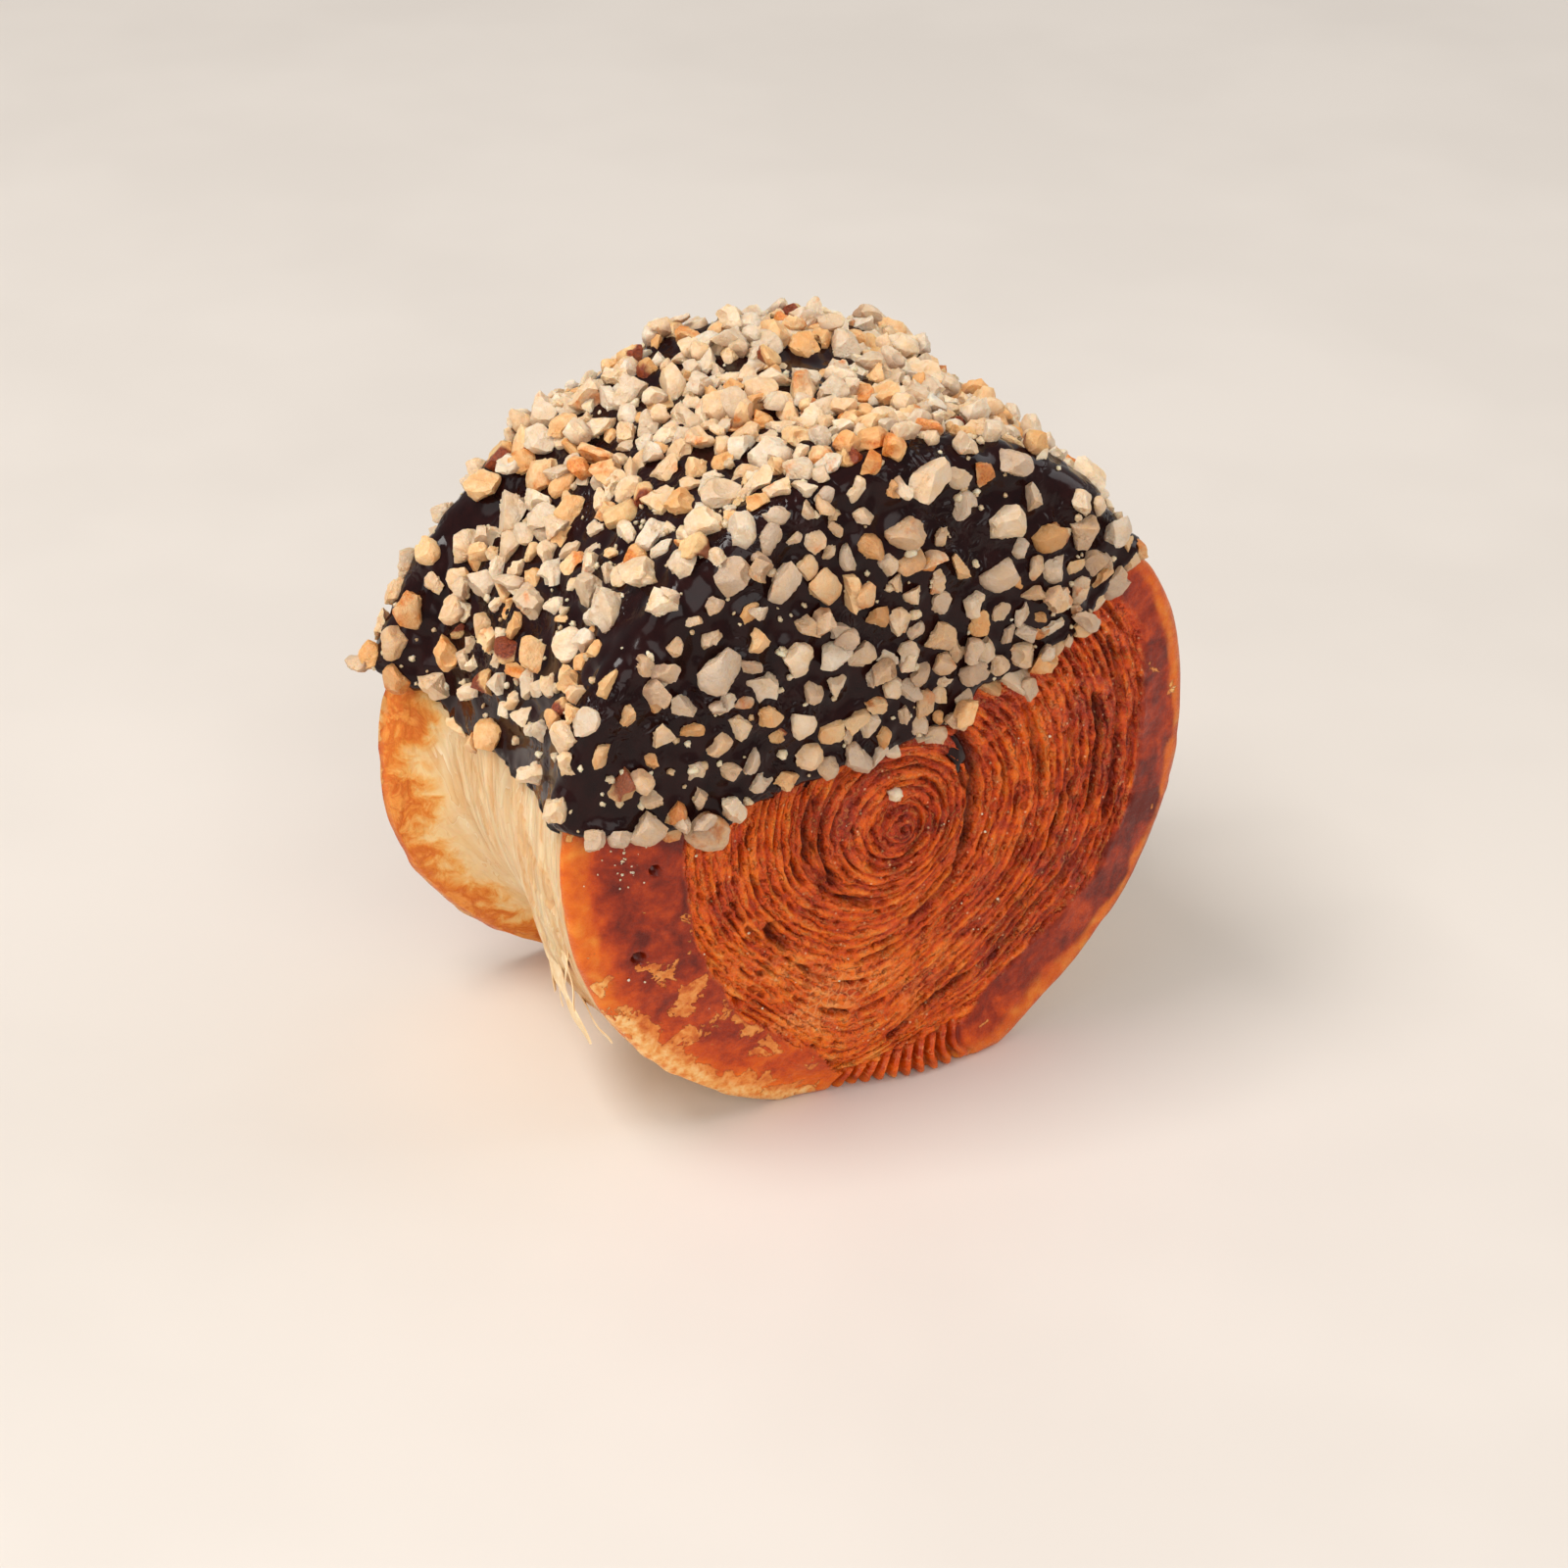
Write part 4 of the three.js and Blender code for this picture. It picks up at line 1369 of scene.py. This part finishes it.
def dough_material():
    s = Shader("baked_dough", Subsurface_Scale=0.003, IOR=1.45, Specular_IOR_Level=0.36)
    place = s.place()
    grain = s.noise(place, 2.2, 4.0, 0.65)
    layers, relief = dough_layers(s, place)
    band, rim, patch = dough_band(s, place)
    wall, rough = dough_wall(s, place)
    face = s.blend(s.value("band"), layers, band)
    # Painted shade in the gaps and grooves.
    face = s.blend(s.times(s.value("dark"), 0.75, True), face, (88, 18, 2))
    # Tiny pale dots painted as glints, a painted highlight.
    painted_glints = s.times(s.span(s.cells(place, 0.5), 0.12, 0.07), s.value("open"))
    face = s.blend(s.times(painted_glints, 0.6, True), face, (255, 206, 156))
    face = s.blend(s.times(s.value("toast"), 0.8, True), face, rim)
    colour = s.blend(s.value("wall"), face, wall)
    colour = s.blend(s.times(s.value("near_coat"), 0.35, True), colour, (60, 26, 14))
    s.out("Base Color", colour)
    shine = s.span(grain, 0.3, 0.7, 0.16, 0.42)
    s.out("Roughness", s.plus(shine, s.times(s.value("wall"), 0.25)))
    s.out("Subsurface Weight", s.plus(s.times(s.value("wall"), 0.2), 0.05))
    first = s.bump(s.noise(place, 0.5, 3.0, 0.55), 0.35, 0.6)
    flaked = s.times(s.times(patch, s.value("band")), -0.7)
    relief = s.plus(s.plus(relief, rough), flaked)
    s.out("Normal", s.bump(relief, 0.32, 1.0, first))
    return s.material


def flake_material():
    s = Shader("pastry_flakes", Roughness=0.45, IOR=1.45)
    streaks = s.noise(s.place(), 0.5, 3.0, 0.6, 0.5)
    s.out("Base Color", s.ramp(streaks, (0.3, (236, 198, 142)), (0.7, (250, 228, 188))))
    s.out("Normal", s.bump(streaks, 0.4, 0.6))
    return s.material


def chocolate_material():
    """Nearly black and glossy, and wrinkled in places where the nuts crowd."""
    s = Shader("dark_chocolate", IOR=1.45, Specular_IOR_Level=0.22)
    place = s.place()
    swell = s.noise(place, 0.1, 1.0, 0.4, 0.6)
    wrinkle = s.noise(place, 0.42, 0.5, 0.4, 2.4)
    spread = s.times(s.span(s.noise(place, 0.07, 1.0), 0.46, 0.62), s.value("crowd"))
    mottle = s.noise(place, 0.3, 3.0, 0.6)
    s.out("Base Color", s.ramp(mottle, (0.3, (24, 7, 8)), (0.7, (40, 13, 12))))
    s.out("Roughness", s.span(mottle, 0.35, 0.7, 0.10, 0.21))
    first = s.bump(swell, 1.5, 0.4)
    s.out("Normal", s.bump(s.times(wrinkle, spread), 0.9, 0.45, first))
    return s.material


def nut_material(kind):
    s = Shader(kind["name"], Subsurface_Weight=0.3, Subsurface_Scale=0.0012,
               Subsurface_Radius=(1.0, 0.5, 0.25), IOR=1.46)
    place = s.place()
    tint = s.value("tint")
    grain = s.noise(place, 0.9, 4.0, 0.65)
    fleck = s.noise(place, 3.2, 3.0, 0.6)
    light = s.plus(s.times(tint, 0.75), s.span(grain, 0.3, 0.7, -0.25, 0.4), True)
    colour = s.blend(light, kind["deep"], kind["light"])
    core = s.span(s.noise(place, 0.4, 2.0, 0.5, 0.5), 0.48, 0.62, 0.0, 0.4)
    colour = s.blend(core, colour, kind["core"])
    browned = s.noise(place, 0.33, 3.0, 0.6, 0.4)
    limit = s.span(s.value("toast"), 0.0, 1.0, 0.76, 0.76 - 0.4 * kind["toast"])
    toasted = s.span(s.math("SUBTRACT", browned, limit), -0.03, 0.14, 0.0, 0.85)
    colour = s.blend(toasted, colour, s.ramp(fleck, (0.35, (206, 98, 26)), (0.65, (236, 152, 62))))
    if kind["skin"]:
        skin = s.ramp(fleck, (0.35, (104, 38, 16)), (0.65, (156, 70, 30)))
        colour = s.blend(s.value("skin"), colour, skin)
    colour = s.blend(s.span(fleck, 0.68, 0.75, 0.0, 0.35), colour, (190, 140, 84))
    # Chocolate wetting at the foot, and painted shade on the nuts of the front face.
    soak_and_shade = s.times(s.value("soak_and_shade"), s.span(grain, 0.3, 0.7, 0.55, 1.0), True)
    colour = s.blend(s.times(soak_and_shade, 0.8, True), colour, (134, 86, 56))
    s.out("Base Color", colour)
    s.out("Roughness", s.span(grain, 0.3, 0.7, 0.34, 0.6))
    first = s.bump(grain, 0.6, 0.6)
    s.out("Normal", s.bump(fleck, 0.2, 0.7, first))
    return s.material


def floor_material():
    s = Shader("pale_floor", Roughness=0.5)
    stain = s.noise(s.place(), 0.01, 3.0)
    s.out("Base Color", s.ramp(stain, (0.4, (226, 218, 209)), (0.6, (230, 222, 213))))
    return s.material


# ---- Stage ----

def make_floor():
    mesh = bpy.data.meshes.new("floor")
    reach = 4.0
    corners = [(-reach, -reach, 0), (reach, -reach, 0), (reach, reach, 0), (-reach, reach, 0)]
    mesh.from_pydata(corners, [], [(0, 1, 2, 3)])
    mesh.materials.append(floor_material())
    floor = bpy.data.objects.new("floor", mesh)
    bpy.context.scene.collection.objects.link(floor)


WARM = (1.0, 0.975, 0.95)
LIGHTS = (  # name, place, aim, size, watts, colour
    ("key", (-0.62, 0.08, 1.26), (0, 0, 0.06), 0.5, 11.6, WARM),
    ("left", (-1.4, -0.2, 0.55), (0, 0, 0.04), 0.9, 4.3, WARM),
    ("front", (-0.35, -1.35, 0.75), (0, 0, 0.05), 1.0, 7.6, WARM),
    ("right", (1.3, -0.3, 0.8), (0, 0, 0.05), 0.9, 6.0, (0.97, 0.98, 1.0)),
)


def make_lights():
    for name, place, aim, size, watts, colour in LIGHTS:
        data = bpy.data.lights.new(name, "AREA")
        data.size = size
        data.energy = watts
        data.color = colour
        light = bpy.data.objects.new(name, data)
        light.location = place
        light.rotation_euler = (Vector(aim) - Vector(place)).to_track_quat("-Z", "Y").to_euler()
        bpy.context.scene.collection.objects.link(light)
    world = bpy.data.worlds.new("studio")
    world.use_nodes = True
    background = world.node_tree.nodes["Background"]
    background.inputs["Color"].default_value = WARM + (1,)
    background.inputs["Strength"].default_value = 0.40
    bpy.context.scene.world = world


LENS = 78.75  # millimetres, on a sensor 36 wide
CAMERA_PLACE = (-0.2372, -0.3957, 0.3119)
CAMERA_TURNS = ((-31, "Z"), (59.45, "X"), (2.55, "Z"))  # heading, pitch and roll, in degrees


def make_camera():
    """The photo's viewing angle."""
    data = bpy.data.cameras.new("camera")
    data.lens = LENS
    data.sensor_width = 36
    data.clip_start = 0.05
    camera = bpy.data.objects.new("camera", data)
    heading, pitch, roll = (
        Matrix.Rotation(math.radians(degrees), 4, axis) for degrees, axis in CAMERA_TURNS)
    camera.matrix_world = Matrix.Translation(CAMERA_PLACE) @ heading @ pitch @ roll
    bpy.context.scene.collection.objects.link(camera)
    bpy.context.scene.camera = camera


# ---- Everything together ----

def belong(piece, slot, *nodes):
    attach(piece, "root")
    if nodes:
        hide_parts(*nodes)


def main():
    rng = np.random.default_rng(SEED)
    belong(make_dough(), "dough", "dough_roll")
    coat = Coat()
    nuts = pile(strew(coat, rng), rng)
    coat.rise_round(nuts)
    belong(coat.piece(), "chocolate", "chocolate_coat")
    belong(make_drip(), "chocolate")
    belong(make_flakes(), "dough")
    for piece in make_nuts(nuts, rng):
        belong(piece, "nuts")
    belong(make_crumbs(coat, rng), "nuts")
    make_floor()
    make_lights()
    make_camera()
    bpy.context.scene.view_settings.view_transform = "Standard"


main()
